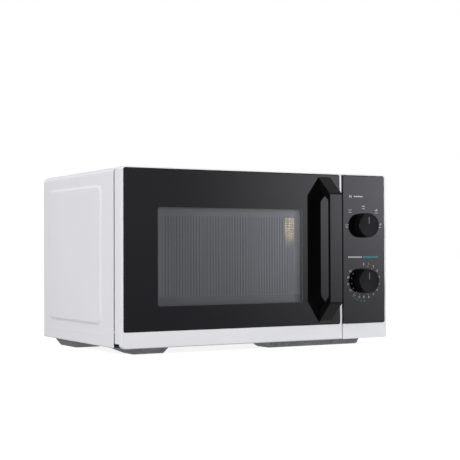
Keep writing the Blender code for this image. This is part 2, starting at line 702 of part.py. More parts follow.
def cooling_fan():
    """Shroud against the back, shaded-pole motor on its strut, and the blade in the opening."""
    half = FAN_RADIUS + 4
    shroud = block("fan_shroud", (FAN_X - half, 272, FAN_Z - half), (FAN_X + half, 292, FAN_Z + half),
                   NATURAL_PLASTIC, along="y", corner=5.0)
    cut_rods(shroud, "shroud_opening", [((FAN_X, 260, FAN_Z), (FAN_X, 310, FAN_Z), FAN_RADIUS + 1.5)],
             sides=36)
    join_blocks(shroud, "motor_strut", [((FAN_X - half + 2, 265, FAN_Z - 31),
                                         (FAN_X + half - 2, 273, FAN_Z - 25)),
                                        ((FAN_X - half + 2, 265, FAN_Z + 25),
                                         (FAN_X + half - 2, 273, FAN_Z + 31))])
    motor = block("fan_motor", (FAN_X - 22, 246, FAN_Z - 30), (FAN_X + 22, 264, FAN_Z + 30), CORE_STEEL)
    join_rods(motor, "motor_bearing", [((FAN_X, 263, FAN_Z), (FAN_X, 268, FAN_Z), 8.0)])
    join_blocks(motor, "motor_coil", [((FAN_X - 26, 240, FAN_Z - 29), (FAN_X - 6, 264, FAN_Z - 8))])
    cut_rods(motor, "motor_bore", [((FAN_X, 262, FAN_Z), (FAN_X, 275, FAN_Z), 2.6)])
    return [shroud, motor, fan_blade()]


def fan_blade():
    """Hub with its shaft stub and five pitched blades."""
    hub = rod("fan_blade", (FAN_X, 274, FAN_Z), (FAN_X, 288, FAN_Z), 12.0, BLACK_PLASTIC, sides=20)
    join_rods(hub, "fan_shaft", [((FAN_X, 265, FAN_Z), (FAN_X, 275, FAN_Z), 2.0)], sides=12)
    pitch = math.radians(28)
    for number in range(5):
        shape = bmesh.new()
        add_block(shape, (9, -9, -0.9), (FAN_RADIUS - 1.5, 9, 0.9))
        turn = (Matrix.Translation(Vector((FAN_X, 281, FAN_Z)) * MM)
                @ Matrix.Rotation(math.tau * number / 5, 4, "Y")
                @ Matrix.Rotation(math.radians(90) - pitch, 4, "X"))
        bmesh.ops.transform(shape, matrix=turn, verts=shape.verts)
        use_tool(hub, f"blade_{number}", shape, "UNION")
    return hub


def air_duct():
    """Elbow that takes the fan's air from the magnetron to the cavity's wall."""
    low, high = (BAY_LEFT, 112, BASE + 130), (206, 146, BASE + 206)
    duct = block("air_duct", low, high, NATURAL_PLASTIC)
    wall = 1.6
    cut_blocks(duct, "duct_room", [((low[0] - 5, low[1] + wall, low[2] + wall),
                                   (high[0] - wall, high[1] + 5, high[2] - wall))])
    return duct


def filter_board():
    """Circuit board of the mains filter, with its coil and fuse block."""
    board = block("filter_board", (146, 66, BASE + 214), (212, 130, BASE + 215.6), CIRCUIT_BOARD)
    join_blocks(board, "fuse_block", [((150, 72, BASE + 215), (176, 84, BASE + 226))])
    join_rods(board, "filter_coil", [((192, 108, BASE + 215), (192, 108, BASE + 230), 12.0)])
    return board


# Door seat hardware: hinges and latch board

def hinge(name, low, high, pin_low, pin_high, tail_left, finish):
    """Flat bracket on the front plate, with the tongue and the pin that the door turns on."""
    left, front, bend, back = HINGE_X - 2.2, HINGE_Y - 4.7, CASE_FRONT + 4.5, 52.0
    outline = fillet([(left, front, 2.0), (HINGE_X + 6.2, front, 3.0), (HINGE_X + 6.2, bend, 0),
                      (-188, bend, 2.0), (-188, back, 2.0), (tail_left, back, 0),
                      (tail_left, CASE_FRONT - 0.4, 0), (left, CASE_FRONT - 0.6, 0)])
    bracket = plate(name, outline, "z", low, high, finish)
    join_rods(bracket, f"{name}_pin", [((HINGE_X, HINGE_Y, pin_low), (HINGE_X, HINGE_Y, pin_high),
                                        PIN_RADIUS)],
              sides=16)
    return bracket


def hinges():
    lower = hinge("hinge_lower", BASE + 1.4, BASE + 3.6, BASE + 2.0, BASE + 17.0, -HALF + 2.6,
                  BRACKET_STEEL)
    upper = hinge("hinge_upper", TOP - 3.6, TOP - 1.8, TOP - 17.0, TOP - 2.5, -HALF + 6.2, WHITE_PAINT)
    return [lower, upper]


def latch_board():
    """Plastic bracket behind the front plate: flange with two slots, a side wall for the switches,
    a catch under each hook, and the pivot of the interlock lever."""
    front = CASE_FRONT + 1.3 + GAP
    side = LATCH_X + 9.5
    low, high = BASE + 18, BASE + 226
    board = block("latch_board", (BAY_LEFT + 3, front, low), (side + 2.5, front + 2.5, high),
                  NATURAL_PLASTIC)
    join_blocks(board, "switch_wall", [((side, front + 1, low), (side + 2.5, front + 36, high))])
    cut_blocks(board, "hook_slots", [((LATCH_X - 5, front - 5, z - 10), (LATCH_X + 7, front + 8, z + 12))
                                     for z in (HOOK_LOW, HOOK_HIGH)])
    join_blocks(board, "catch", [((LATCH_X - 6, front + 1.5, z - 15), (side + 1, front + 10, z - 9.5))
                                 for z in (HOOK_LOW, HOOK_HIGH)])
    join_rods(board, "lever_pivot", [((side + 1, 56, HOOK_LOW + 6), (LATCH_X - 3.5, 56, HOOK_LOW + 6),
                                      1.5)], sides=12)
    return board


def door_switches():
    """Three snap-action switches on the latch board's wall."""
    wall = LATCH_X + 9.5 - GAP
    places = (("primary_switch", HOOK_HIGH + 14), ("secondary_switch", HOOK_LOW - 32),
              ("monitor_switch", HOOK_LOW + 22))
    switches = []
    for name, low in places:
        switch = block(name, (wall - 10.3, 34, low), (wall, 61, low + 15.5), BLACK_PLASTIC)
        join_blocks(switch, f"{name}_button", [((wall - 7, 30.9 + 1.6, low + 5),
                                                (wall - 3, 35, low + 8))])
        switches.append(switch)
    return switches


def interlock_lever():
    """Rocker that a hook presses; it turns on the latch board's pivot."""
    pivot = (56.0, HOOK_LOW + 6)
    outline = fillet([(pivot[0] - 4, pivot[1] - 4, 1.5), (pivot[0] + 4, pivot[1] - 4, 3.0),
                      (pivot[0] + 4, pivot[1] + 4, 3.0), (pivot[0] - 1, pivot[1] + 12, 1.5),
                      (pivot[0] - 5, pivot[1] + 12, 1.5)], 3)
    lever = plate("interlock_lever", outline, "x", LATCH_X - 2.5, LATCH_X + 2.5, BLACK_PLASTIC)
    cut_rods(lever, "lever_bore", [((LATCH_X - 9, *pivot), (LATCH_X + 9, *pivot), 1.9)], sides=16)
    return lever


# Door

def front_block(name, left, right, finish, hinged):
    """Moulded surround: rounded front, and a round back corner on the side that turns."""
    back_corner = 4.2 if hinged else 0.8
    outline = fillet([(left, 0, 2.6), (right, 0, 1.0 if hinged else 2.6), (right, DOOR_DEPTH, 0.8),
                      (left, DOOR_DEPTH, back_corner)], 3)
    surround = plate(name, outline, "z", BASE, TOP, finish)
    return surround


def trim_corners(target, name, side, top_round, bottom_round):
    """Round the outer corners of a surround as seen from the front."""
    past = 40.0
    inner, outer, beyond = side * 100.0, side * HALF, side * (HALF + past)
    corners = fillet([(inner, TOP, 0), (outer, TOP, top_round), (outer, BASE, bottom_round),
                      (inner, BASE, 0)], 4)
    waste = [(inner, BASE - past), (beyond, BASE - past), (beyond, TOP + past), (inner, TOP + past)]
    shape = bmesh.new()
    add_plate(shape, waste + [tuple(point) for point in corners], "y", -past, DOOR_DEPTH + past)
    use_tool(target, name, shape, "DIFFERENCE")


def door_frame():
    """White surround of the door: a shallow tray, open at the back, with the glass let into its
    face, solid posts for the hinge pins and a notch for each hinge bracket."""
    frame = front_block("door_frame", -HALF, DOOR_RIGHT, WHITE_PLASTIC, True)
    trim_corners(frame, "door_corners", -1, 6.0, 6.0)
    cut_blocks(frame, "door_rebate", [((DOOR_GLASS[0] - GAP, -10, GLASS_BOTTOM - GAP),
                                      (DOOR_GLASS[1] + GAP, GLASS_THICK + GAP, GLASS_TOP + GAP))],
               along="y", corner=3.0)
    face = GLASS_THICK + GAP + SKIN
    left, right = -HALF + SKIN, DOOR_RIGHT - SKIN
    past = DOOR_DEPTH + 10
    cut_blocks(frame, "door_pocket", [((left, face, BASE + 22), (right, past, TOP - 22)),])
    cut_blocks(frame, "door_pocket_ends", [((HINGE_X + 6.5, face, BASE + SKIN),
                                            (right, past, TOP - SKIN))])
    cut_blocks(frame, "frame_window", [((WINDOW[0] - 5, -10, WINDOW[2] - 5),
                                        (WINDOW[1] + 5, face + 5, WINDOW[3] + 5))])
    cut_blocks(frame, "hinge_notch_low", [((-HALF - 10, 8, BASE - 10), (HINGE_X + 12, past,
                                                                        BASE + NOTCH_HEIGHT))])
    cut_blocks(frame, "hinge_notch_top", [((-HALF - 10, HINGE_Y - 6, TOP - TOP_NOTCH),
                                           (HINGE_X + 12, past, TOP + 10))])
    cut_rods(frame, "pin_bores", [((HINGE_X, HINGE_Y, BASE - 5), (HINGE_X, HINGE_Y, BASE + 19), PIN_BORE),
                                  ((HINGE_X, HINGE_Y, TOP - 19), (HINGE_X, HINGE_Y, TOP + 5),
                                   PIN_BORE)], sides=16)
    return frame


def door_glass():
    return block("door_glass", (DOOR_GLASS[0], 0, GLASS_BOTTOM), (DOOR_GLASS[1], GLASS_THICK, GLASS_TOP),
                 BLACK_GLASS, along="y", corner=2.7, rim=0.5, ends=(-1,))


def door_screen():
    """Pressed steel pan whose flat middle is the window's screen and whose walls form the choke."""
    left, right, low, high = HINGE_X + 7.8, 113.0, BASE + 4.0, TOP - 5.0
    face = 7.5
    pan = block("door_screen", (left, face, low), (right, 24.4, high), SCREEN_STEEL, along="y",
                corner=4.0)
    cut_blocks(pan, "pan_room", [((left + 1, face + 0.8, low + 1), (right - 1, 40, high - 1))],
               along="y", corner=3.0)
    return pan


def choke_cover():
    """Plastic ring that covers the choke on the door's inner side."""
    left, right, low, high = HINGE_X + 9.2, 111.6, BASE + 5.4, TOP - 6.4
    ring = block("choke_cover", (left, 22.4, low), (right, 25.3, high), CHOKE_PLASTIC, along="y",
                 corner=2.5)
    cut_blocks(ring, "choke_opening", [((WINDOW[0] - 1, 15, WINDOW[2] - 1),
                                        (WINDOW[1] + 1, 30, WINDOW[3] + 1))],
               along="y", corner=5.0)
    return ring


def inner_window():
    return block("inner_window", (WINDOW[0] - 8, 20.8, WINDOW[2] - 8),
                 (WINDOW[1] + 8, 22.1, WINDOW[3] + 8), CLEAR_SHEET)


def handle():
    """Bar handle: slanted ends, a long grip, and a finger gap that goes right through."""
    low, high = BASE + 25.8, BASE + 239.8
    grip_low, grip_high = BASE + 54.8, BASE + 214.6
    leg, bar = 17.0, 4.8
    reach = -HANDLE_REACH
    outline = fillet([(-GAP, low, 1.0), (reach, grip_low, 7.0), (reach, grip_high, 7.0),
                      (-GAP, high, 1.0),
                      (-GAP, high - leg, 0), (reach + bar, grip_high - 10.5, 5.0),
                      (reach + bar, grip_low + 10.5, 5.0), (-GAP, low + leg, 0)], 4)
    return plate("handle", outline, "x", HANDLE_LEFT, HANDLE_LEFT + HANDLE_WIDTH, HANDLE_GREY, rim=1.2)


def hook_outline(z):
    """Side view of a hook: straight shank, beak under its end, sloped nose."""
    return fillet([(14, z - 4.5, 0), (35, z - 4.5, 0.8), (36, z - 7.5, 0), (40, z - 7.5, 1.0),
                   (46, z - 1, 1.5), (41, z + 4.5, 1.5), (14, z + 4.5, 0)], 2)


def latch_bar():
    """Upright bar in the door with both hooks, which rise together."""
    bar = block("latch_bar", (LATCH_X - 5, 9.5, HOOK_LOW - 14), (LATCH_X + 5, 15, HOOK_HIGH + 20),
                BLACK_PLASTIC)
    for number, z in enumerate((HOOK_LOW, HOOK_HIGH), 1):
        shape = bmesh.new()
        add_plate(shape, hook_outline(z), "x", LATCH_X - 2.5, LATCH_X + 2.5)
        use_tool(bar, f"hook_{number}", shape, "UNION")
    return bar


def latch_spring():
    """Compression spring between the bar's upper end and the door's top wall."""
    low, high, turns, per_turn = HOOK_HIGH + 20.9, TOP - SKIN - 0.9, 6, 8
    count = turns * per_turn
    points = []
    for index in range(count + 1):
        angle = math.tau * index / per_turn
        points.append((LATCH_X + 3.2 * math.cos(angle), 12.2 + 3.2 * math.sin(angle),
                       low + (high - low) * index / count))
    return wire("latch_spring", points, 0.5, SPRING_STEEL)


# Control panel

def control_panel_frame():
    """White surround of the controls: shallow tray with the glass let into its face."""
    frame = front_block("control_panel_frame", PANEL_LEFT, HALF, WHITE_PLASTIC, False)
    trim_corners(frame, "panel_corners", 1, 6.0, 3.0)
    cut_blocks(frame, "panel_rebate", [((PANEL_GLASS[0] - GAP, -10, GLASS_BOTTOM - GAP),
                                       (PANEL_GLASS[1] + GAP, GLASS_THICK + GAP, GLASS_TOP + GAP))],
               along="y", corner=3.0)
    face = GLASS_THICK + GAP + SKIN
    cut_blocks(frame, "panel_pocket", [((PANEL_LEFT + SKIN, face, BASE + SKIN),
                                        (HALF - SKIN, DOOR_DEPTH + 10, TOP - SKIN))])
    cut_rods(frame, "frame_shaft_holes", [((KNOB_X, -5, z), (KNOB_X, 15, z), 4.5)
                                          for z in (POWER_Z, TIMER_Z)])
    return frame


def control_panel_glass():
    pane = block("control_panel_glass", (PANEL_GLASS[0], 0, GLASS_BOTTOM),
                 (PANEL_GLASS[1], GLASS_THICK, GLASS_TOP),
                 BLACK_GLASS, along="y", corner=2.7, rim=0.5, ends=(-1,))
    cut_rods(pane, "pane_shaft_holes", [((KNOB_X, -5, z), (KNOB_X, 15, z), 4.5)
                                        for z in (POWER_Z, TIMER_Z)])
    return pane


def knobs():
    """Round knobs: barrel with a slight draft, chamfered lip, shallow dished face with a pointer
    rib, and the control's shaft behind."""
    reach = KNOB_REACH
    profile = [(0, reach - 0.9), (15.2, reach - 0.5), (16.2, reach), (16.9, reach), (17.8, reach - 0.9),
               (KNOB_RADIUS, 0.6), (3.0, 0.6), (3.0, -5.9), (0, -5.9)]
    made = []
    for name, z in (("power_knob", POWER_Z), ("timer_knob", TIMER_Z)):
        knob = turned(name, profile, (KNOB_X, 0, z), (0, -1, 0), BLACK_PLASTIC, 36)
        join_blocks(knob, f"{name}_pointer", [((KNOB_X - 0.6, -reach - 0.2, z + 3),
                                               (KNOB_X + 0.6, -reach + 3, z + 14.4))])
        made.append(knob)
    return made


def control_units():
    """The power selector and the timer: boxed mechanisms behind the panel with side lugs."""
    units = []
    for name, z, depth in (("power_selector", POWER_Z, 38.0), ("timer_unit", TIMER_Z, 46.0)):
        unit = block(name, (KNOB_X - 25, 6.2, z - 27), (KNOB_X + 25, depth, z + 27), ZINC_STEEL,
                     along="y", corner=3.0)
        join_blocks(unit, f"{name}_body", [((KNOB_X - 20, depth - 2, z - 20),
                                            (KNOB_X + 20, depth + 9, z + 20))])
        units.append(unit)
    return units


# Assembly

def joint_empty(name, place, frame):
    empty = bpy.data.objects.new(name, None)
    OVEN.objects.link(empty)
    empty.location = Vector(place) * MM
    empty.parent = frame
    return empty


def hang(parts, empty):
    """Parent parts to a joint's empty without moving them."""
    for part in parts:
        part.parent = empty
        part.matrix_parent_inverse = Matrix.Translation(-empty.location)


def build_oven():
    frame = bpy.data.objects.new("oven_frame", None)
    OVEN.objects.link(frame)
    frame.location = Vector((0, (HANDLE_REACH - SPACER_BACK) / 2, 0)) * MM

    fixed = [outer_casing(), base_plate(), rear_panel(), rear_spacer(), cord_gland(), *casing_screws(),
             oven_cavity(), cavity_front_plate(), waveguide(), waveguide_cover(), lamp(), lamp_holder(),
             turntable_motor(), *magnetron(), *transformer(), *capacitor(), high_voltage_lead(), air_duct(),
             filter_board(), *hinges(), latch_board(), *door_switches(), control_panel_frame(),
             control_panel_glass(), *control_units()]
    shroud, motor, blade = cooling_fan()
    fixed += [shroud, motor]
    for part in fixed:
        part.parent = frame

    hang([door_frame(), door_glass(), door_screen(), choke_cover(), inner_window(), handle(), latch_bar(),
          latch_spring()], joint_empty("door_hinge", (HINGE_X, HINGE_Y, BASE), frame))
    hang([interlock_lever()], joint_empty("lever_axis", (LATCH_X, 56, HOOK_LOW + 6), frame))
    power, timer = knobs()
    hang([power], joint_empty("power_axis", (KNOB_X, 0, POWER_Z), frame))
    hang([timer], joint_empty("timer_axis", (KNOB_X, 0, TIMER_Z), frame))
    hang([blade], joint_empty("fan_axis", (FAN_X, 281, FAN_Z), frame))
    hang([turntable_coupler(), turntable_tray()], joint_empty("turntable_axis", (TURN_X, TURN_Y, FLOOR),
                                                              frame))
    hang([roller_ring()], joint_empty("roller_axis", (TURN_X, TURN_Y, FLOOR + GAP + WHEEL_RADIUS), frame))
    for wheel in roller_wheels():
        wheel.parent = frame
    for tool in CUTTERS.objects:
        tool.parent = frame


build_oven()
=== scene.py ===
# %% [markdown]
# # A countertop microwave oven
# The object is a white steel box with a black glass front, a bar handle, two round knobs and a window
# that shows a perforated screen. Its pieces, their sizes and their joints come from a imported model.
# This lesson builds the visible skins on that frame: every surface is a numpy function of two
# parameters, every finish is a small node tree, and each piece rides on the body that it belongs to.

# %% Load the frame
import math

import bmesh
import bpy
import numpy as np
from mathutils import Matrix, Vector

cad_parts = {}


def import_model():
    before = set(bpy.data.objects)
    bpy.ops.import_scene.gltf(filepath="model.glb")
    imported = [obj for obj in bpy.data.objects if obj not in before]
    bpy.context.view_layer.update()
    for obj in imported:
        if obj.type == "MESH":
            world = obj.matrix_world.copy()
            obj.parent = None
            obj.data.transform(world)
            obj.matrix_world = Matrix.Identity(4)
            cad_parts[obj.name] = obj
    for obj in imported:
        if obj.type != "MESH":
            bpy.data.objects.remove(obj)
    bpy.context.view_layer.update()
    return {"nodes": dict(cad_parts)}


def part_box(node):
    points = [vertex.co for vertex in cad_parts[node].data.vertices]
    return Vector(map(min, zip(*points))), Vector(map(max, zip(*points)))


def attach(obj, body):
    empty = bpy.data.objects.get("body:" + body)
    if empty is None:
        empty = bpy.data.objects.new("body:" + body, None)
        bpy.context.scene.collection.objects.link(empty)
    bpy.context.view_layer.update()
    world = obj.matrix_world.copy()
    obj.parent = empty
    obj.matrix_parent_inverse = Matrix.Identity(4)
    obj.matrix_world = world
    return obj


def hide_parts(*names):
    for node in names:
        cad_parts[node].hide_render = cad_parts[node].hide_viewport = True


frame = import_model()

# %% [markdown]
# ## Where things are
# The maker's drawing measures in millimetres from the face of the glass (Y) and from the floor (Z),
# with X running to the right from the middle. `span` reads a node's box in those numbers and `world`
# takes drawing points back to the frame's metres, so that no size is typed twice.

# %% Drawing numbers
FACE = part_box("door_glass")[0][1]
MM = 0.001
SHEET_LAP = 8.0  # how far the inner sheet reaches past the window's edge
KNOB_REACH = 15.2  # how far the knobs stand off the glass


def span(node):
    """A node's low and high corners in the drawing's millimetres."""
    low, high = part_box(node)
    shift = np.array((0.0, FACE, 0.0))
    return (np.array(low) - shift) / MM, (np.array(high) - shift) / MM


def world(points):
    """Drawing millimetres to the frame's metres: scale, then move the glass face to its place."""
    return np.asarray(points, float) * MM + np.array((0.0, FACE, 0.0))


door_low, door_high = span("door_frame")
panel_low, panel_high = span("control_panel_frame")
pane_low, pane_high = span("door_glass")
dial_low, dial_high = span("control_panel_glass")
case_high = span("outer_casing")[1]
BASE = door_low[2]
HALF = panel_high[0]
WINDOW = tuple(span("inner_window")[side][axis] + (SHEET_LAP, -SHEET_LAP)[side]
               for axis in (0, 2) for side in (0, 1))
print("window, left right low high:", WINDOW)

# %% [markdown]
# ## From arrays to pieces
# A piece is made from an array of points with two indices. Neighbouring points make the quads, and a
# direction can be closed on itself, as a tube is. A helper then names the piece, files it under its
# finish, lets it ride on its body and hides the nodes it stands for.

# %% Make a piece
def mesh_from_grid(name, points, close_rows=False, close_columns=False, holes=None, caps=()):
    """Quads between neighbours of a rows x columns array of points. `holes` is a mask of the quads
    to leave out, and each row named in `caps` is closed with one flat face."""
    rows, columns = points.shape[:2]
    index = np.arange(rows * columns).reshape(rows, columns)
    if close_rows:
        index = np.vstack((index, index[:1]))
    if close_columns:
        index = np.hstack((index, index[:, :1]))
    quads = np.stack((index[:-1, :-1], index[:-1, 1:], index[1:, 1:], index[1:, :-1]), axis=-1)
    quads = quads.reshape(-1, 4) if holes is None else quads[~holes]
    mesh = bpy.data.meshes.new(name)
    faces = quads.tolist() + [(np.arange(columns) + columns * (row % rows)).tolist() for row in caps]
    mesh.from_pydata(world(points.reshape(-1, 3)).tolist(), [], faces)
    return mesh


def tidy(mesh, angle=35.0, outward=True):
    """Merge doubles, turn the faces outwards and keep edges sharper than the angle crisp."""
    work = bmesh.new()
    work.from_mesh(mesh)
    bmesh.ops.remove_doubles(work, verts=work.verts, dist=1e-6)
    loose = [vert for vert in work.verts if not vert.link_faces]
    bmesh.ops.delete(work, geom=loose, context="VERTS")
    if outward:
        bmesh.ops.recalc_face_normals(work, faces=work.faces)
    work.to_mesh(mesh)
    work.free()
    mesh.shade_smooth()
    mesh.set_sharp_from_angle(angle=math.radians(angle))
    return mesh


PIECES = {}


def piece(mesh, body, slot, nodes=(), finish=None):
    """Put a mesh in the scene as a piece of a body, with its slot and the nodes it stands for."""
    thing = bpy.data.objects.new(mesh.name, mesh)
    bpy.context.scene.collection.objects.link(thing)
    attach(thing, body)
    if nodes:
        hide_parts(*nodes)
    PIECES.setdefault(finish or slot, []).append(thing)
    print(f"{mesh.name}: {len(mesh.polygons)} faces, rides {body}")
    return thing


def flatten(thing):
    """Let large flat faces decide the normals, so that a rounded edge leaves its neighbours flat."""
    level = thing.modifiers.new("flat", "WEIGHTED_NORMAL")
    level.mode = "FACE_AREA"
    level.weight = 80
    level.keep_sharp = True
    return thing


def thicken(thing, depth):
    """Give a sheet its gauge, inwards from the drawn surface."""
    wall = thing.modifiers.new("gauge", "SOLIDIFY")
    wall.thickness = depth * MM
    wall.offset = -1.0
    wall.use_even_offset = False
    return thing


# %% [markdown]
# ## Outlines
# Most of the front is made of rounded rectangles, one behind the other. An outline always has the
# same number of points, so any two can be bridged. A corner may also be a square notch, which is how
# the door makes room for its hinge brackets.

# %% Rounded rectangles
CORNER = 8


def corner_arc(x, z, radius, start):
    """Quarter circle inside the corner (x, z), from the angle start, counter-clockwise."""
    turn = start + np.linspace(0, math.pi / 2, CORNER + 1)
    middle = start + math.pi / 4
    centre = (x - radius * math.sqrt(2) * math.cos(middle), z - radius * math.sqrt(2) * math.sin(middle))
    return np.stack((centre[0] + radius * np.cos(turn), centre[1] + radius * np.sin(turn)), axis=1)


def corner_notch(x, z, width, height, upper):
    """Square notch of the left corner (x, z), walked in the same sense as its arc would be."""
    away = -1 if upper else 1
    path = [(x + width, z), (x + width, z + away * height), (x, z + away * height)]
    path = path if upper else path[::-1]
    along = np.linspace(0, 2, CORNER + 1)
    return np.stack([np.interp(along, (0, 1, 2), [point[axis] for point in path]) for axis in (0, 1)], 1)


def outline(left, right, low, high, radii, low_notch=None, high_notch=None):
    """Rounded rectangle, counter-clockwise from the lower left corner. Radii go the same way round."""
    radii = np.broadcast_to(radii, 4)
    parts = [corner_arc(left, low, radii[0], math.pi), corner_arc(right, low, radii[1], 1.5 * math.pi),
             corner_arc(right, high, radii[2], 0.0), corner_arc(left, high, radii[3], 0.5 * math.pi)]
    if low_notch:
        parts[0] = corner_notch(left, low, *low_notch, False)
    if high_notch:
        parts[3] = corner_notch(left, high, *high_notch, True)
    return np.vstack(parts)


def stack(levels):
    """Outlines (x, z), each at its depth y, as a rows x columns x 3 array."""
    return np.stack([np.insert(flat, 1, depth, axis=1) for flat, depth in levels])


def turned(profile, centre, axis, steps=96):
    """Profile (radius, height) swept round an axis: centre + height * axis + radius * (cos, sin)."""
    profile = np.asarray(profile, float)
    axis = np.asarray(axis, float)
    across = np.array((1.0, 0.0, 0.0))
    upright = np.cross(axis, across)
    turn = np.linspace(0, 2 * math.pi, steps, endpoint=False)
    circle = np.cos(turn)[:, None] * across + np.sin(turn)[:, None] * upright
    return centre + profile[:, 1, None, None] * axis + profile[:, 0, None, None] * circle


def arc(centre, radius, start, end, steps=5):
    """Points on a circle's arc in the plane, angles in degrees, both ends included."""
    turn = np.radians(np.linspace(start, end, steps + 1))
    return [(centre[0] + radius * math.cos(a), centre[1] + radius * math.sin(a)) for a in turn]


# %% [markdown]
# ## Shader maths
# A finish is a node tree, and its maths reads best as plain expressions. `Number` wraps a socket and
# turns + - * / into Math nodes. `Finish` owns one material: its `node` method makes any node from a
# type, its settings and its sockets, and everything that varies ends in one Principled shader.

# %% Number and Finish
class Number:
    """One number socket of a node tree. Arithmetic on it adds Math nodes."""

    def __init__(self, finish, socket):
        self.finish, self.socket = finish, socket

    def math(self, operation, *others, first=None):
        """A Math node on this number and the others; `first` goes before it."""
        values = (self, *others) if first is None else (first, self)
        node = self.finish.node("ShaderNodeMath", {"operation": operation}, dict(enumerate(values)))
        return Number(self.finish, node.outputs[0])

    def __add__(self, other):
        return self.math("ADD", other)

    def __sub__(self, other):
        return self.math("SUBTRACT", other)

    def __rsub__(self, other):
        return self.math("SUBTRACT", first=other)

    def __mul__(self, other):
        return self.math("MULTIPLY", other)

    def __truediv__(self, other):
        return self.math("DIVIDE", other)

    def __pow__(self, other):
        return self.math("POWER", other)

    def __lt__(self, other):
        return self.math("LESS_THAN", other)

    def __gt__(self, other):
        return self.math("GREATER_THAN", other)

    def __abs__(self):
        return self.math("ABSOLUTE")

    def sine(self):
        return self.math("SINE")

    def least(self, other):
        return self.math("MINIMUM", other)

    def most(self, other):
        return self.math("MAXIMUM", other)

    def wrap(self, size):
        """Distance from the nearest multiple of size, with its sign."""
        return self.math("WRAP", size / 2, -size / 2)

    def ramp(self, start, end):
        """0 below start, 1 above end, smooth between."""
        node = self.finish.node("ShaderNodeMapRange", {"interpolation_type": "SMOOTHSTEP"},
                                {"Value": self, "From Min": start, "From Max": end})
        return Number(self.finish, node.outputs["Result"])

    __radd__ = __add__
    __rmul__ = __mul__


class Finish:
    """A material that is built node by node."""

    def __init__(self, name):
        self.material = bpy.data.materials.new(name)
        self.material.use_nodes = True
        self.tree = self.material.node_tree
        self.tree.nodes.clear()
        self.output = self.tree.nodes.new("ShaderNodeOutputMaterial")

    def node(self, kind, settings=None, sockets=None):
        """A node with its settings made first and its sockets set or linked."""
        made = self.tree.nodes.new(kind)
        for name, value in (settings or {}).items():
            setattr(made, name, value)
        for name, value in (sockets or {}).items():
            self.feed(made.inputs[name], value)
        return made

    def feed(self, socket, value):
        """Link a socket to another, or set its constant."""
        if isinstance(value, Number):
            value = value.socket
        if isinstance(value, bpy.types.NodeSocket):
            self.tree.links.new(value, socket)
        elif socket.type == "RGBA" and len(value) == 3:
            socket.default_value = (*value, 1.0)
        else:
            socket.default_value = value

    def number(self, node, output=0):
        """One output of a node, for arithmetic."""
        return Number(self, node.outputs[output])

    def place(self):
        """The piece's own coordinates, in metres, as a vector and as three numbers."""
        vector = self.node("ShaderNodeTexCoord").outputs["Object"]
        split = self.node("ShaderNodeSeparateXYZ", None, {"Vector": vector})
        return vector, *(Number(self, split.outputs[axis]) for axis in "XYZ")

    def mapped(self, scale=(1, 1, 1), shift=(0, 0, 0)):
        """Own coordinates, moved and stretched."""
        vector = self.node("ShaderNodeTexCoord").outputs["Object"]
        return self.node("ShaderNodeMapping", None, {"Vector": vector, "Scale": scale,
                                                     "Location": shift}).outputs["Vector"]

    def noise(self, vector, scale, detail=3.0, rough=0.5):
        """Fractal noise, about 0.5 on average."""
        return self.number(self.node("ShaderNodeTexNoise", None, {
            "Vector": vector, "Scale": scale, "Detail": detail, "Roughness": rough}))

    def mix(self, factor, first, second):
        """Colour between two colours."""
        node = self.node("ShaderNodeMix", {"data_type": "RGBA"}, {0: factor, 6: first, 7: second})
        return node.outputs[2]

    def bump(self, height, distance, strength=1.0):
        """Normal that follows a height, in metres of relief."""
        return self.node("ShaderNodeBump", None, {
            "Height": height, "Distance": distance, "Strength": strength}).outputs["Normal"]

    def principled(self, sockets):
        """The one shader that every opaque finish ends in."""
        return self.node("ShaderNodeBsdfPrincipled", None, sockets)

    def show(self, shader):
        """Send a shader to the output and hand back the material."""
        self.feed(self.output.inputs["Surface"], shader.outputs[0])
        return self.material


def spread(noise, low, high):
    """A noise value, mostly 0.3 to 0.7, carried to the range low to high."""
    return noise.ramp(0.3, 0.7) * (high - low) + low


FINISHES = {}

# %% [markdown]
# ## Finish: painted steel and moulded white plastic
# The wrapper and the back are powder-coated sheet, which has a fine orange peel and a soft sheen. The
# front surrounds are moulded plastic, smoother and a little cooler. Both are nearly even, so the
# variation is small: it lives mostly in roughness and in a very low bump.

# %% Whites
def white(name, colour, second, roughness, peel, depth, dark_left=None):
    """Two close whites by a wide noise, roughness by a finer one, and a peel of small bumps. Left of
    dark_left[0], between its two heights, the piece is black like the glass that it carries."""
    finish = Finish(name)
    vector, x, _, z = finish.place()
    wide = finish.noise(vector, 6.0, 2.0)
    fine = finish.noise(vector, peel, 2.0)
    base = finish.mix(wide.ramp(0.35, 0.65), colour, second)
    if dark_left:
        edge, low, high = (value * MM for value in dark_left)
        base = finish.mix((x < edge) * (z > low) * (z < high), base, (0.004, 0.004, 0.005))
    return finish.show(finish.principled({
        "Base Color": base,
        "Roughness": spread(finish.noise(vector, 40.0), roughness - 0.04, roughness + 0.04),
        "Normal": finish.bump(fine, depth * MM, 0.5)}))


FINISHES["white_paint"] = white("white_paint", (0.75, 0.742, 0.78), (0.735, 0.73, 0.765),
                                0.42, 700.0, 0.03)
WHITE_PLASTIC = ((0.757, 0.757, 0.787), (0.744, 0.746, 0.772), 0.36, 1500.0, 0.01)
FINISHES["white_plastic"] = white("white_plastic", *WHITE_PLASTIC)
FINISHES["panel_plastic"] = white("panel_plastic", *WHITE_PLASTIC,
                                  dark_left=(panel_low[0] + 1.0, dial_low[2] - 0.3, dial_high[2] + 0.3))
print("whites:", sorted(FINISHES))

# %% [markdown]
# ## Finish: front glass
# The front is clear glass with black print on its back, which leaves the window open. The print is
# mixed with a clear pane by a mask: 1 inside the window's rounded rectangle. On the clear part the
# Fresnel factor keeps the mirror of the room, and the rest passes through with a slight tint. The
# back of the pane is clear a little further out, so that a slanting look in isn't cut short, and a
# hairline of grey follows the print's edge.

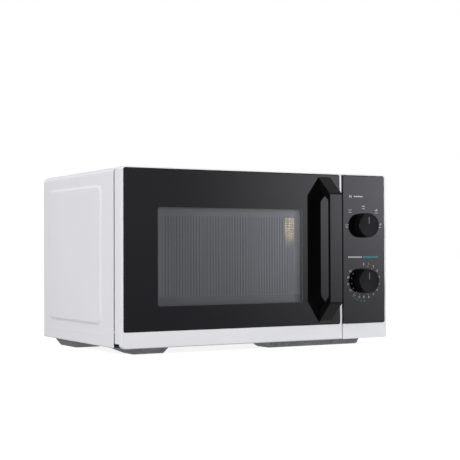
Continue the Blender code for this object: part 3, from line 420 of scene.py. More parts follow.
# %% Front glass
WINDOW_RADIUS = 3.0
PRINT_EDGE = 0.3
CLEAR_BEHIND = 3.5
HAIRLINE = 0.8
MID_GLASS = 1.5


def grown(rectangle, by):
    """Left, right, low and high of a rectangle, each moved out by the same amount."""
    left, right, low, high = rectangle
    return left - by, right + by, low - by, high + by


def rounded_mask(x, z, left, right, low, high, radius, soft):
    """1 inside a rounded rectangle. The distance is the length of the part outside the core box."""
    across = (abs(x - (left + right) / 2) - ((right - left) / 2 - radius)).most(0.0)
    upward = (abs(z - (low + high) / 2) - ((high - low) / 2 - radius)).most(0.0)
    away = (across * across + upward * upward) ** 0.5
    return 1 - away.ramp(radius - soft, radius)


def front_glass():
    """Black print outside the window, a clear pane with a Fresnel mirror inside it."""
    finish = Finish("front_glass")
    vector, x, y, z = finish.place()
    x, z = x / MM, z / MM
    behind = (y - FACE) > MID_GLASS * MM
    wide = rounded_mask(x, z, *grown(WINDOW, CLEAR_BEHIND), WINDOW_RADIUS, PRINT_EDGE) * behind
    inside = rounded_mask(x, z, *WINDOW, WINDOW_RADIUS, PRINT_EDGE).most(wide)
    rim = rounded_mask(x, z, *grown(WINDOW, HAIRLINE), WINDOW_RADIUS + 0.6, PRINT_EDGE)
    black = finish.mix(finish.noise(vector, 9.0), (0.0022, 0.0022, 0.0026), (0.003, 0.003, 0.0034))
    printed = finish.principled({
        "Base Color": finish.mix(rim, black, (0.07, 0.073, 0.08)),
        "Roughness": spread(finish.noise(vector, 25.0), 0.03, 0.06),
        "IOR": 1.5, "Coat Weight": 0.0})
    clear = finish.node("ShaderNodeBsdfTransparent", None, {"Color": (0.885, 0.89, 0.905)})
    mirror = finish.node("ShaderNodeBsdfAnisotropic", None,
                         {"Color": (1.0, 1.0, 1.0), "Roughness": 0.04})
    fresnel = finish.node("ShaderNodeFresnel", None, {"IOR": 1.5})
    pane = finish.node("ShaderNodeMixShader", None, {0: fresnel.outputs[0], 1: clear.outputs[0],
                                                     2: mirror.outputs[0]})
    shaders = {0: inside, 1: printed.outputs[0], 2: pane.outputs[0]}
    return finish.show(finish.node("ShaderNodeMixShader", None, shaders))


FINISHES["front_glass"] = front_glass()
print("nodes in the front glass:", len(FINISHES["front_glass"].node_tree.nodes))

# %% [markdown]
# ## Finish: perforated screen
# The steel behind the window keeps microwaves in with holes much smaller than their wavelength. The
# holes stand in a triangular grid: two square-sided lattices, one shifted by half a cell, and a point
# is in a hole when its distance to the nearest centre is under the radius. Alpha opens them.

# %% Screen
HOLE_PITCH = 2.05
HOLE_RADIUS = 0.52
STREAK_PITCH = 4.4
HOLE_FIELD = (WINDOW[0] + 10.0, WINDOW[1] - 8.8, BASE + 69.0, BASE + 180.0)


def screen_steel():
    """Grey steel with open holes. Faint upright bands run over the field, and the flange on the
    right and the sill below are darker."""
    finish = Finish("screen_steel")
    vector, x, _, z = finish.place()
    x, z = x / MM, z / MM
    step = HOLE_PITCH * math.sqrt(3)
    first = x.wrap(HOLE_PITCH) ** 2.0 + z.wrap(step) ** 2.0
    second = (x + HOLE_PITCH / 2).wrap(HOLE_PITCH) ** 2.0 + (z + step / 2).wrap(step) ** 2.0
    field = rounded_mask(x, z, *HOLE_FIELD, 2.0, 0.1)
    hole = (first.least(second) < HOLE_RADIUS ** 2) * (field > 0.5)
    strength = finish.noise(finish.mapped((90, 1, 2)), 1.0, 1.0).ramp(0.3, 0.6)
    streak = (x * (math.tau / STREAK_PITCH)).sine() * strength * field
    flange = x.ramp(HOLE_FIELD[1] + 0.4, HOLE_FIELD[1] + 1.2)
    sill = 1 - z.ramp(HOLE_FIELD[2] - 1.5, HOLE_FIELD[2])
    tone = (finish.noise(vector, 14.0) - 0.5) * 0.3 + streak * 0.42 + 0.6
    tone = tone * (1 - flange * 0.55) - sill * 0.25
    return finish.show(finish.principled({
        "Base Color": finish.mix(tone, (0.17, 0.17, 0.178), (0.66, 0.665, 0.69)),
        "Roughness": spread(finish.noise(vector, 60.0), 0.42, 0.55),
        "Alpha": 1 - hole}))


FINISHES["screen_steel"] = screen_steel()
print("field of holes:", HOLE_FIELD)

# %% [markdown]
# ## Finish: black mouldings
# Handle, knobs and small inner parts are black plastic. The handle is nearly mirror-smooth, and the
# faces of the knobs are spun: fine rings round the axis, which smear a highlight into two fans.

# %% Black plastics
def moulding(name, dark, light, roughness, grain, depth, **extra):
    """Two close tones, uneven sheen and a fine grain."""
    finish = Finish(name)
    vector, *_ = finish.place()
    sockets = {"Base Color": finish.mix(finish.noise(vector, 30.0).ramp(0.3, 0.7), dark, light),
               "Roughness": spread(finish.noise(vector, 80.0), roughness * 0.88, roughness * 1.12),
               "Normal": finish.bump(finish.noise(vector, grain, 2.0), depth * MM, 0.5)}
    sockets.update(extra)
    return finish.show(finish.principled(sockets))


FINISHES["handle_plastic"] = moulding("handle_plastic", (0.0025, 0.0025, 0.003), (0.004, 0.004, 0.0045),
                                      0.12, 2500.0, 0.002)
FINISHES["black_plastic"] = moulding("black_plastic", (0.018, 0.018, 0.019), (0.028, 0.028, 0.03),
                                     0.42, 1800.0, 0.02)
FINISHES["choke_plastic"] = moulding("choke_plastic", (0.028, 0.028, 0.03), (0.04, 0.04, 0.043),
                                     0.4, 1200.0, 0.02)
FINISHES["natural_plastic"] = moulding("natural_plastic", (0.56, 0.55, 0.51), (0.63, 0.62, 0.58),
                                       0.45, 900.0, 0.02)
FINISHES["mica"] = moulding("mica", (0.4, 0.35, 0.27), (0.58, 0.52, 0.42), 0.5, 300.0, 0.03)
FINISHES["lead_rubber"] = moulding("lead_rubber", (0.11, 0.012, 0.01), (0.15, 0.018, 0.014),
                                   0.5, 900.0, 0.02)
FINISHES["lip_gloss"] = moulding("lip_gloss", (0.004, 0.004, 0.005), (0.006, 0.006, 0.007),
                                 0.1, 2500.0, 0.002)


def knob_plastic(centre_x, centre_z):
    """Satin black with rings: sine of the distance to the axis, on the front face alone."""
    finish = Finish("knob_plastic")
    vector, x, y, z = finish.place()
    across, upward = x / MM - centre_x, z / MM - centre_z
    away = (across * across + upward * upward) ** 0.5
    face = 1 - (y / MM - FACE / MM).ramp(0.6 - KNOB_REACH, 1.0 - KNOB_REACH)
    rings = (away * (math.tau / 0.42)).sine() * face
    return finish.show(finish.principled({
        "Base Color": finish.mix(face, (0.006, 0.006, 0.0075), (0.008, 0.008, 0.009)),
        "Roughness": spread(finish.noise(vector, 90.0), 0.2, 0.26) + face * 0.1,
        "Specular IOR Level": 0.14,
        "Normal": finish.bump(rings, 0.012 * MM, 1.0)}))


# %% [markdown]
# ## Finish: zinc-coated steel
# Galvanised sheet shows spangle: crystals a few millimetres wide that each reflect a little
# differently. Voronoi cells give every crystal its own tone and roughness.

# %% Metals
def zinc_steel():
    """Zinc crystals: each Voronoi cell has a tone and a roughness of its own."""
    finish = Finish("zinc_steel")
    vector, *_ = finish.place()
    cells = finish.node("ShaderNodeTexVoronoi", None, {"Vector": vector, "Scale": 260.0})
    split = finish.node("ShaderNodeSeparateColor", None, {"Color": cells.outputs["Color"]})
    tone = finish.number(split, 0) * 0.6 + finish.noise(vector, 30.0) * 0.4
    return finish.show(finish.principled({
        "Base Color": finish.mix(tone, (0.25, 0.265, 0.275), (0.43, 0.45, 0.465)),
        "Metallic": 0.75, "Roughness": spread(finish.number(split, 1), 0.36, 0.52)}))


def metal(name, colour, second, roughness, stretch, metallic=1.0):
    """Bare metal: brush lines from a noise squeezed along one axis."""
    finish = Finish(name)
    lines = finish.noise(finish.mapped(stretch), 1.0, 4.0)
    return finish.show(finish.principled({
        "Base Color": finish.mix(lines, colour, second), "Metallic": metallic,
        "Roughness": spread(lines, roughness - 0.06, roughness + 0.06),
        "Normal": finish.bump(lines, 0.01 * MM, 0.4)}))


def banded(name, colour, second, size, axis, roughness, metallic):
    """Stacked laminations or wound wire: a sine along one axis sets tone and bump."""
    finish = Finish(name)
    _, *place = finish.place()
    wave = (place[axis] * (math.tau / (size * MM))).sine() * 0.5 + 0.5
    return finish.show(finish.principled({
        "Base Color": finish.mix(wave, colour, second), "Metallic": metallic,
        "Roughness": wave * 0.1 + roughness, "Normal": finish.bump(wave, size * 0.2 * MM, 0.7)}))


FINISHES["zinc_steel"] = zinc_steel()
FINISHES["aluminium"] = metal("aluminium", (0.66, 0.67, 0.68), (0.78, 0.79, 0.8), 0.32, (40, 900, 900))
FINISHES["bracket_steel"] = metal("bracket_steel", (0.012, 0.012, 0.013), (0.03, 0.03, 0.032), 0.4,
                                  (600, 60, 600), 0.5)
FINISHES["spring_steel"] = metal("spring_steel", (0.42, 0.42, 0.43), (0.55, 0.55, 0.56), 0.3,
                                 (500, 500, 500))
FINISHES["pointer_silver"] = metal("pointer_silver", (0.17, 0.17, 0.18), (0.26, 0.26, 0.27), 0.35,
                                   (800, 800, 60), 0.4)
FINISHES["core_steel"] = banded("core_steel", (0.12, 0.12, 0.125), (0.24, 0.24, 0.245), 1.0, 1,
                                0.45, 0.7)
FINISHES["copper"] = banded("copper", (0.36, 0.14, 0.05), (0.62, 0.3, 0.13), 0.9, 1, 0.3, 0.9)

# %% [markdown]
# ## Finish: enamel, clear parts and the lamp
# The oven's inside is grey enamel with fine darker specks and a painted glow round the lamp's holes.
# The tray and the inner sheet are clear: they are mixed from a transparent shader and a gloss by
# Fresnel, which is quicker than refraction and lets the lamp's light through. The lamp glows warm.

# %% Enamel, clear sheets and lamp
# The glow numbers below, all but the bulb's, shape a painted glow on the cavity wall: emission that
# stands in for the lamp's light shining through its holes.
PAINTED_GLOW_STRENGTH = 11.5
BULB_GLOW = 14.0
LAMP_PITCH = (5.0, 4.0)  # between the holes in front of the lamp, along and up
LAMP_HOLE = math.sqrt(2.6)  # radius
LAMP_REACH = (17.0, 24.0)  # the glow fades between these, to both sides
LAMP_FALL = (-42.0, 5.0)  # and between these below the lamp's top
LAMP_EDGE = (6.0, 9.0)


def cavity_enamel():
    """Grey with specks. Round the lamp's holes the right wall carries a painted glow: emission that
    stands in for the lamp's light shining through from behind. It fades from the top of the lamp
    downwards and is brightest in the holes' own lattice."""
    finish = Finish("cavity_enamel")
    vector, x, y, z = finish.place()
    cells = finish.node("ShaderNodeTexVoronoi", None, {"Vector": vector, "Scale": 700.0})
    split = finish.node("ShaderNodeSeparateColor", None, {"Color": cells.outputs["Color"]})
    speck = (finish.number(cells, "Distance") < 0.3) * (finish.number(split, 0) > 0.72)
    base = finish.mix(finish.noise(vector, 8.0), (0.36, 0.365, 0.37), (0.43, 0.435, 0.44))
    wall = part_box("oven_cavity")[1][0]
    lamp_low, lamp_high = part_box("oven_lamp")
    along = (y - (lamp_low[1] + lamp_high[1]) / 2) / MM
    above = (z - lamp_high[2]) / MM
    away = along.wrap(LAMP_PITCH[0]) ** 2.0 + above.wrap(LAMP_PITCH[1]) ** 2.0
    painted_glow_dots = (away < LAMP_HOLE ** 2) * 1.5 + 0.06
    painted_glow_fall = (1 - abs(along + 3.0).ramp(*LAMP_REACH)) * above.ramp(*LAMP_FALL)
    painted_glow_fall = painted_glow_fall * (1 - above.ramp(*LAMP_EDGE))
    # Painted glow: the lamp's light through the holes, drawn as emission on the right wall.
    painted_glow = painted_glow_dots * painted_glow_fall * (x > wall - 2 * MM) * (x < wall - 0.3 * MM)
    return finish.show(finish.principled({
        "Base Color": finish.mix(speck, base, (0.17, 0.17, 0.175)),
        "Roughness": spread(finish.noise(vector, 50.0), 0.25, 0.36),
        "Emission Color": finish.mix(painted_glow, (0.0, 0.0, 0.0), (1.0, 0.78, 0.42)),
        "Emission Strength": PAINTED_GLOW_STRENGTH}))


def clear(name, tint, gloss, ripple):
    """Transparent, with a Fresnel mirror over it and a low ripple in the mirror."""
    finish = Finish(name)
    vector, *_ = finish.place()
    normal = finish.bump(finish.noise(vector, ripple), 0.02 * MM, 0.5)
    through = finish.node("ShaderNodeBsdfTransparent", None, {"Color": tint})
    mirror = finish.principled({"Base Color": (0.9, 0.9, 0.9), "Metallic": 1.0, "Roughness": gloss,
                                "Normal": normal})
    fresnel = finish.node("ShaderNodeFresnel", None, {"IOR": 1.5, "Normal": normal})
    shaders = {0: fresnel.outputs[0], 1: through.outputs[0], 2: mirror.outputs[0]}
    return finish.show(finish.node("ShaderNodeMixShader", None, shaders))


def bulb_glass():
    """Warm glowing glass, uneven between amber and yellow."""
    finish = Finish("bulb_glass")
    vector, *_ = finish.place()
    warm = finish.mix(finish.noise(vector, 120.0), (1.0, 0.62, 0.26), (1.0, 0.78, 0.42))
    return finish.show(finish.principled({"Base Color": (0.9, 0.85, 0.7), "Roughness": 0.2,
                                          "Emission Color": warm, "Emission Strength": BULB_GLOW}))


def circuit_board():
    """Brown laminate; what stands more than 2 mm over it is dark."""
    finish = Finish("circuit_board")
    vector, _, _, z = finish.place()
    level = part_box("filter_board")[0][2]
    raised = (z - level) > 2 * MM
    board = finish.mix(finish.noise(vector, 200.0), (0.2, 0.11, 0.035), (0.3, 0.18, 0.06))
    return finish.show(finish.principled({
        "Base Color": finish.mix(raised, board, (0.03, 0.03, 0.032)),
        "Roughness": spread(finish.noise(vector, 90.0), 0.35, 0.5)}))


FINISHES["cavity_enamel"] = cavity_enamel()
FINISHES["clear_sheet"] = clear("clear_sheet", (0.93, 0.93, 0.94), 0.08, 20.0)
FINISHES["tray_glass"] = clear("tray_glass", (0.86, 0.92, 0.9), 0.04, 60.0)
FINISHES["bulb_glass"] = bulb_glass()
FINISHES["circuit_board"] = circuit_board()

# %% [markdown]
# ## The wrapper
# One folded sheet makes both sides and the top. Its section is an upside-down U with bent corners;
# along Y it runs straight back and then turns in on the back as a narrow flange. The raised field on
# each side is pressed from the same sheet: the surface is pushed out by a smooth step of the
# distance to a rounded rectangle. The air slots on the right are quads left out of the grid.

# %% Wrapper
CASE_FRONT = span("outer_casing")[0][1]
CASE_BACK = case_high[1]
CASE_TOP = case_high[2]
BEND, REAR_BEND, FLANGE, TOP_FLANGE = 7.0, 14.0, 13.0, 24.0
FIELD = (67.0, 270.0, BASE + 28.8, BASE + 224.5)
FIELD_RAISE = case_high[0] - HALF
VENT_Y = [205.0 + 8 * row for row in range(7)]
VENT_Z = (BASE + 52.0, BASE + 92.0)
VENT_WIDTH = 3.5
GRID_UP, GRID_BACK = 1.6, 1.8
CASE_GAUGE = 1.0


def smooth(value):
    """3v^2 - 2v^3, held between 0 and 1."""
    value = np.clip(value, 0, 1)
    return value * value * (3 - 2 * value)


def raised_field(y, z):
    """Height of the pressed field: full inside a rounded rectangle, and a smooth step at its rim."""
    corner, rim = 15.0, 3.0
    across = np.abs(y - (FIELD[0] + FIELD[1]) / 2) - ((FIELD[1] - FIELD[0]) / 2 - corner)
    upward = np.abs(z - (FIELD[2] + FIELD[3]) / 2) - ((FIELD[3] - FIELD[2]) / 2 - corner)
    outside = np.hypot(np.maximum(across, 0), np.maximum(upward, 0))
    distance = outside + np.minimum(np.maximum(across, upward), 0) - corner
    return FIELD_RAISE * smooth(-distance / rim)


def crease(y, z):
    """Faint stiffening line low on the side: a narrow bell across Z, faded at both ends."""
    fade = smooth((y - 56) / 8) * smooth((280 - y) / 8)
    return 0.3 * fade * np.exp(-((z - BASE - 15.5) / 0.9) ** 2)


def lines(low, high, step, extra=()):
    """Sorted stations from low to high, with the extra ones in place of any close neighbour."""
    even = np.linspace(low, high, int(round((high - low) / step)) + 1)
    extra = np.array(sorted(extra))
    if extra.size:
        near = np.min(np.abs(even[1:-1, None] - extra[None]), axis=1) < step * 0.45
        even = np.concatenate((even[:1], even[1:-1][~near], even[-1:]))
    return np.unique(np.round(np.concatenate((even, extra)), 4))


def wrapper():
    """Rows run up the left side, over the top and down the right; columns run from front to back.
    A row is (x, z) and its outward normal. Behind the straight stretch each column turns in by
    1 - cos on the bend, then on over the flange."""
    up = lines(BASE, CASE_TOP - BEND, GRID_UP, VENT_Z)
    bend = np.radians(np.linspace(0, 90, 9))[1:-1]
    left = np.stack((np.full_like(up, -HALF), up, np.full_like(up, -1.0), np.zeros_like(up)), 1)
    corner = np.stack((-HALF + BEND - BEND * np.cos(bend), CASE_TOP - BEND + BEND * np.sin(bend),
                       -np.cos(bend), np.sin(bend)), 1)
    across = np.linspace(-HALF + BEND, HALF - BEND, 40)
    level = np.zeros_like(across)
    top = np.stack((across, level + CASE_TOP, level, level + 1.0), 1)
    mirror = np.array((-1, 1, -1, 1))
    section = np.vstack((left, corner, top, corner[::-1] * mirror, left[::-1] * mirror))
    straight = lines(CASE_FRONT, CASE_BACK - REAR_BEND, GRID_BACK,
                     [edge for y in VENT_Y for edge in (y, y + VENT_WIDTH)])
    turn = np.radians(np.linspace(0, 90, 10))[1:]
    inward = np.concatenate((np.zeros_like(straight), 1 - np.cos(turn), 1 + np.linspace(0, 1, 5)[1:]))
    x, z, out_x, out_z = (section[:, None, part] for part in range(4))
    side_in = np.interp(inward, (0, 1, 2), (0, BEND, FLANGE))
    top_in = np.interp(inward, (0, 1, 2), (0, REAR_BEND, TOP_FLANGE))
    radius = BEND * out_x ** 2 + REAR_BEND * out_z ** 2
    bend_start = CASE_BACK - radius
    ratio = (straight - CASE_FRONT) / (straight[-1] - CASE_FRONT)
    side = np.abs(out_x) > 0.999
    forward = np.where(side, straight, CASE_FRONT + ratio * (bend_start - CASE_FRONT))
    turning = bend_start + radius * np.concatenate((np.sin(turn), np.ones(4)))
    depth = np.hstack((forward, turning))
    push = np.where(side, raised_field(depth, z) + crease(depth, z), 0.0)
    points = np.stack((x - out_x * side_in + out_x * push, depth, z - out_z * top_in), axis=-1)
    middle_y = (depth[:-1, 1:] + depth[:-1, :-1]) / 2
    middle_z = np.broadcast_to((z[1:] + z[:-1]) / 2, middle_y.shape)
    vent = np.zeros(middle_y.shape, bool)
    for y in VENT_Y:
        vent |= (middle_y > y) & (middle_y < y + VENT_WIDTH)
    vent &= (middle_z > VENT_Z[0]) & (middle_z < VENT_Z[1]) & ((x[1:] + x[:-1]) > 0)
    skin = piece(tidy(mesh_from_grid("wrapper", points, holes=vent), 40), "oven", "white_paint",
                 ["outer_casing"])
    return thicken(skin, CASE_GAUGE)


wrapper()

# %% [markdown]
# ## The white surrounds
# Door and control panel each have a moulded tray round their glass. One closed section goes round a
# rounded rectangle: up the outer side, over a soft front edge, across the face, down into the rebate
# that holds the glass, and back along the inner wall. Where the outlines differ in width, as at the
# deep strip under the glass, the same section simply stretches.

# %% Surrounds
GLASS_DEEP = 3.3
WALL = 2.5
PIN_ARC = 4.2
HINGE_NOTCH = (16.5, 6.5, 4.2)  # width, height at the bottom, height at the top
NOTCH_FRONT = (15.2, 8.0)  # depth where the upper and the lower notch end
QUARTER = np.radians(np.linspace(0, 90, 7))
HINGE_TAPER = 0.5
BACK_BEVEL = 0.6
POCKET_LEFT = 17.5  # the hinge side's wall is this deep
POCKET_LOW, POCKET_HIGH = 10.0, 8.0
REBATE = ((0.6, 0.0), (0.38, 0.12), (0.3, 0.35), (0.3, GLASS_DEEP))  # gap round the glass, depth


def surround(name, low, high, glass_low, glass_high, opening, corners, edge, body, nodes, hinged=False,
             finish=None):
    """Closed stack of outlines: outer side, rounded front edge, face, rebate, ledge, inner wall.
    On the hinge side the back corner is an arc round the pin, with a notch for each bracket."""
    def outer(inset, depth, hinge_inset=None, low_notch=False, high_notch=False):
        """The outer outline, moved in by the inset, at its depth."""
        left = low[0] + (inset if hinge_inset is None else hinge_inset)
        width, low_height, high_height = HINGE_NOTCH
        return outline(left, high[0] - inset, low[2] + inset, high[2] - inset,
                       [max(radius - inset, 0.05) for radius in corners],
                       low_notch=(width, low_height - inset) if low_notch else None,
                       high_notch=(width, high_height - inset) if high_notch else None), depth

    def glass(grow, depth):
        """The outline of the glass with a gap round it, at its depth."""
        return outline(glass_low[0] - grow, glass_high[0] + grow, glass_low[2] - grow,
                       glass_high[2] + grow, 3.0), depth

    back = high[1]
    front = [outer(edge * (1 - math.cos(a)), edge * (1 - math.sin(a))) for a in QUARTER]
    if hinged:
        sides = [outer(HINGE_TAPER * math.sin(a), back - PIN_ARC * (1 - math.sin(a)),
                       PIN_ARC * (1 - math.cos(a)), True, True) for a in QUARTER[::-1]]
        upper, lower = NOTCH_FRONT
        sides += [outer(0, upper, None, True, True), outer(0, upper, None, True),
                  outer(0, lower, None, True), outer(0, lower)]
    else:
        sides = [outer(BACK_BEVEL, back), outer(0, back - BACK_BEVEL)]
    pocket = outline(low[0] + (POCKET_LEFT if hinged else WALL), high[0] - WALL,
                     low[2] + POCKET_LOW, high[2] - POCKET_HIGH, 2.0)
    rebate = [glass(*step) for step in REBATE]
    levels = sides + front + rebate
    levels += [(outline(*opening, 2.0), GLASS_DEEP), (outline(*opening, 2.0), GLASS_DEEP + WALL),
               (pocket, GLASS_DEEP + WALL), (pocket, back)]
    mesh = mesh_from_grid(name, stack(levels), close_rows=True, close_columns=True)
    return flatten(piece(tidy(mesh, 30), body, "white_plastic", nodes, finish))


surround("door_surround", door_low, door_high, pane_low, pane_high, grown(WINDOW, 5.0),
         (6.0, 1.0, 1.0, 6.0), 1.6, "door", ["door_frame"], hinged=True)
surround("panel_surround", panel_low, panel_high, dial_low, dial_high,
         (dial_low[0] + 12, dial_high[0] - 12, dial_low[2] + 20, dial_high[2] - 20),
         (1.0, 3.0, 6.0, 1.0), 0.3, "oven", ["control_panel_frame"], finish="panel_plastic")

# %% [markdown]
# ## The glass panes
# Each pane is a slab with a ground edge: a stack of outlines that starts and ends with a flat face.
# The round of the edge is what catches the thin line of light along its rim.

# %% Panes
PANE_EDGE = 0.9
PANE_BACK = 0.4
PANE_CORNER = 2.7


def pane(name, low, high, body, nodes):
    """Flat back, straight sides, a rounded front edge and a flat front."""
    rim = [(PANE_EDGE * (1 - math.sin(a)), low[1] + PANE_EDGE * (1 - math.cos(a)))
           for a in QUARTER[::-1]]
    levels = [(PANE_BACK, high[1]), (0.0, high[1] - PANE_BACK)] + rim
    points = stack([(outline(low[0] + inset, high[0] - inset, low[2] + inset, high[2] - inset,
                             PANE_CORNER - inset), depth) for inset, depth in levels])
    mesh = mesh_from_grid(name, points, close_columns=True, caps=(0, -1))
    return flatten(piece(tidy(mesh, 30), body, "front_glass", nodes))


pane("door_pane", pane_low, pane_high, "door", ["door_glass"])
pane("panel_pane", dial_low, dial_high, "oven", ["control_panel_glass"])

# %% [markdown]
# ## The handle
# The bar stands off the door on two slanted ends. It is a rounded section carried along a path: at
# each station the outer side and the inner side of the bar are two points in the Y, Z plane, and a
# rounded rectangle is spanned between them across the bar's width.

# %% Handle
def rounded_path(corners, steps):
    """Polyline with arcs: at each corner with a radius, points on the circle that touches both
    sides, at distance radius / tan(half angle) from the corner."""
    points = [np.array(corners[0][:2], float)]
    for before, (y, z, radius), after in zip(corners, corners[1:], corners[2:]):
        here = np.array((y, z), float)
        back = np.array(before[:2]) - here
        ahead = np.array(after[:2]) - here
        back, ahead = back / np.hypot(*back), ahead / np.hypot(*ahead)
        half = math.acos(np.clip(back @ ahead, -1, 1)) / 2
        reach = radius / math.tan(half)
        centre = here + (back + ahead) / np.hypot(*(back + ahead)) * radius / math.sin(half)
        start = math.atan2(*(here + back * reach - centre)[::-1])
        end = math.atan2(*(here + ahead * reach - centre)[::-1])
        sweep = (end - start + math.pi) % (2 * math.pi) - math.pi
        turn = start + sweep * np.linspace(0, 1, steps + 1)
        points += list(centre + radius * np.stack((np.cos(turn), np.sin(turn)), axis=1))
    return np.array(points + [np.array(corners[-1][:2], float)])


BELOW_FOOT, ABOVE_FOOT = 1.4, 1.2  # the feet's corners are rounded off, so the path starts outside
SLANT_LOW, SLANT_HIGH = 29.0, 25.2
LEG, GRIP, INNER_RISE = 17.0, 4.8, 10.5
HANDLE_EDGE = 1.1


def handle_bar():
    """Outer and inner path, and at each station a rounded rectangle from one to the other. Its
    corners are quarter circles: (edge * (1 - cos), edge * (1 - sin)) from each corner."""
    low, high = span("handle")
    foot, reach = high[1], low[1]
    bottom, top = low[2] - BELOW_FOOT, high[2] + ABOVE_FOOT
    grip_low, grip_high = bottom + SLANT_LOW, top - SLANT_HIGH
    inside = reach + GRIP
    outer = rounded_path([(foot, bottom), (reach, grip_low, 6.0), (reach, grip_high, 6.0),
                          (foot, top)], 10)
    inner = rounded_path([(foot, bottom + LEG), (inside, grip_low + INNER_RISE, 5.0),
                          (inside, grip_high - INNER_RISE, 5.0), (foot, top - LEG)], 10)
    inward = inner - outer
    size = np.hypot(inward[:, 0], inward[:, 1])
    unit = inward / size[:, None]
    turn = np.radians(np.linspace(0, 90, 5))
    across, down = HANDLE_EDGE * (1 - np.cos(turn)), HANDLE_EDGE * (1 - np.sin(turn))
    width = high[0] - low[0]
    ring_x = low[0] + np.concatenate((across, width - across[::-1], width - across, across[::-1]))
    ring_down = np.concatenate((down, down[::-1], -down, -down[::-1]))
    far_side = np.repeat((0, 0, 1, 1), len(turn))
    depth = ring_down + far_side * size[:, None]
    plane = outer[:, None] + unit[:, None] * depth[..., None]
    points = np.dstack((np.broadcast_to(ring_x, depth.shape), plane))
    mesh = mesh_from_grid("handle_bar", points, close_columns=True, caps=(0, -1))
    return flatten(piece(tidy(mesh, 30), "door", "handle_plastic", ["handle"]))


handle_bar()

# %% [markdown]
# ## The knobs
# A knob is turned: one profile swept round its axis. It has a slightly tapered barrel and a shallow
# dish for a face. The rounded lip between them is a turned ring of its own, smoother than the rest,
# and a thin pointer stands on the face.

# %% Knobs
LIP_INSET = 1.9
LIP_RADIUS = 1.3
STEM = 3.0  # radius of the stem that reaches through the panel
STEM_END = -5.9
POINTER_HALF = 0.55
POINTER_LOW, POINTER_HIGH = 2.2, 14.0  # heights above the knob's axis
POINTER_BACK = 0.9


def knob(node, body):
    """Profiles (radius, height above the glass): dish and barrel, the lip's quarter circle, and
    the pointer as a stack of three outlines."""
    low, high = span(node)
    centre = (low + high) / 2
    centre[1] = 0.0
    radius = (high[0] - low[0]) / 2
    lip = radius - LIP_INSET
    dish = [(0, -0.7), (9, -0.65), (lip - 2.0, -0.4), (lip - 1.0, -0.3), (lip - 0.5, -0.1),
            (lip - 0.1, -0.02), (lip - 0.1, -0.6), (lip + 0.5, -1.6), (radius - 0.6, -1.5)]
    barrel = [(radius - 0.05, 1.2), (radius - 0.3, 0.6), (STEM, 0.6), (STEM, STEM_END), (0, STEM_END)]
    profile = [(out, KNOB_REACH + drop) for out, drop in dish] + barrel
    mesh = mesh_from_grid(f"{body}_turned", turned(profile, centre, (0, -1, 0)), close_columns=True)
    made = piece(tidy(mesh, 22), body, "knob_plastic", [node])
    FINISHES["knob_plastic"] = knob_plastic(centre[0], centre[2])
    made.data.materials.append(FINISHES["knob_plastic"])
    ring = [(lip - 0.1, KNOB_REACH - 0.5)]
    ring += arc((lip, KNOB_REACH - LIP_RADIUS), LIP_RADIUS, 90, 0, 8)
    ring += [(lip + 0.5, KNOB_REACH - 1.5)]
    mesh = mesh_from_grid(f"{body}_lip", turned(ring, centre, (0, -1, 0)),
                          close_rows=True, close_columns=True)
    piece(tidy(mesh, 40), body, "knob_plastic", finish="lip_gloss")
    levels = [(outline(centre[0] - POINTER_HALF + inset, centre[0] + POINTER_HALF - inset,
                       centre[2] + POINTER_LOW + inset, centre[2] + POINTER_HIGH - inset, 0.3),
               POINTER_BACK - KNOB_REACH - rise) for inset, rise in ((0, 0), (0, 0.25), (0.15, 0.4))]
    mesh = mesh_from_grid(f"{body}_pointer", stack(levels), close_columns=True, caps=(0, -1))
    piece(tidy(mesh, 40), body, "knob_plastic", finish="pointer_silver")


knob("power_knob", "power_knob")
knob("timer_knob", "timer_knob")

# %% [markdown]
# ## The tray
# The glass tray is turned as well: a flat floor, a soft rise and a rolled rim, of even wall.

# %% Tray
def glass_tray():
    """Profile (radius, height): upper side outwards, round the rim by an arc, and back below."""
    low, high = span("turntable_tray")
    centre = np.array(((low[0] + high[0]) / 2, (low[1] + high[1]) / 2, 0.0))
    radius = (high[0] - low[0]) / 2
    bottom, top = low[2], high[2]
    profile = ([(0, bottom + 3.6), (radius - 22, bottom + 3.6), (radius - 12, bottom + 5.2),
                (radius - 4.2, top - 1.6)] + arc((radius - 1.9, top - 1.9), 1.9, 150, 0, 7)
               + [(radius - 0.8, top - 4.0), (radius - 9.5, bottom + 1.8), (radius - 18, bottom + 0.1),
                  (radius - 24, bottom), (0, bottom)])
    mesh = mesh_from_grid("glass_tray", turned(profile, centre, (0, 0, 1), 128), close_columns=True)
    return piece(tidy(mesh, 30), "turntable", "tray_glass", ["turntable_tray"])


glass_tray()

# %% [markdown]
# ## Finishes for everything
# Every kept node arrives with its slot's name on it and gets the finish of that name, and so does
# every new piece. A small bevel on the kept nodes gives their edges the light that a real fold has.

# %% Assign
FOLD = 0.25

for thing in frame["nodes"].values():
    slot = thing.data.materials[0].name
    thing.data.materials[0] = FINISHES[slot]
    join = thing.modifiers.new("weld", "WELD")
    join.merge_threshold = 1e-5
    edge = thing.modifiers.new("fold", "BEVEL")
    edge.width = FOLD * MM
    edge.segments = 2
    edge.limit_method = "ANGLE"
    edge.angle_limit = math.radians(40)
for slot, things in PIECES.items():
    for thing in things:
        if not thing.data.materials:
            thing.data.materials.append(FINISHES[slot])
print("finishes:", sorted(FINISHES))

# %% [markdown]
# ## Printed marks
# The panel's print is plain: a level mark of one to five short bars at each stop of the upper knob,
# a ring of ticks with minutes at the lower one, and a row of bars over each. Every mark is a thin flat
# piece on the glass, made of rectangles in the X, Z plane.

# %% Marks
PRINT_LIFT = 0.06


def flat_print(name, outlines, finish):
    """Flat polygons (x, z) on the face of the glass, as one mesh that faces the front."""
    points, faces = [], []
    for flat in outlines:
        faces.append(list(range(len(points), len(points) + len(flat))))
        points += [(x, -PRINT_LIFT, z) for x, z in flat]
    mesh = bpy.data.meshes.new(name)
    mesh.from_pydata(world(points).tolist(), [], faces)
    return piece(mesh, "oven", "front_glass", finish=finish)


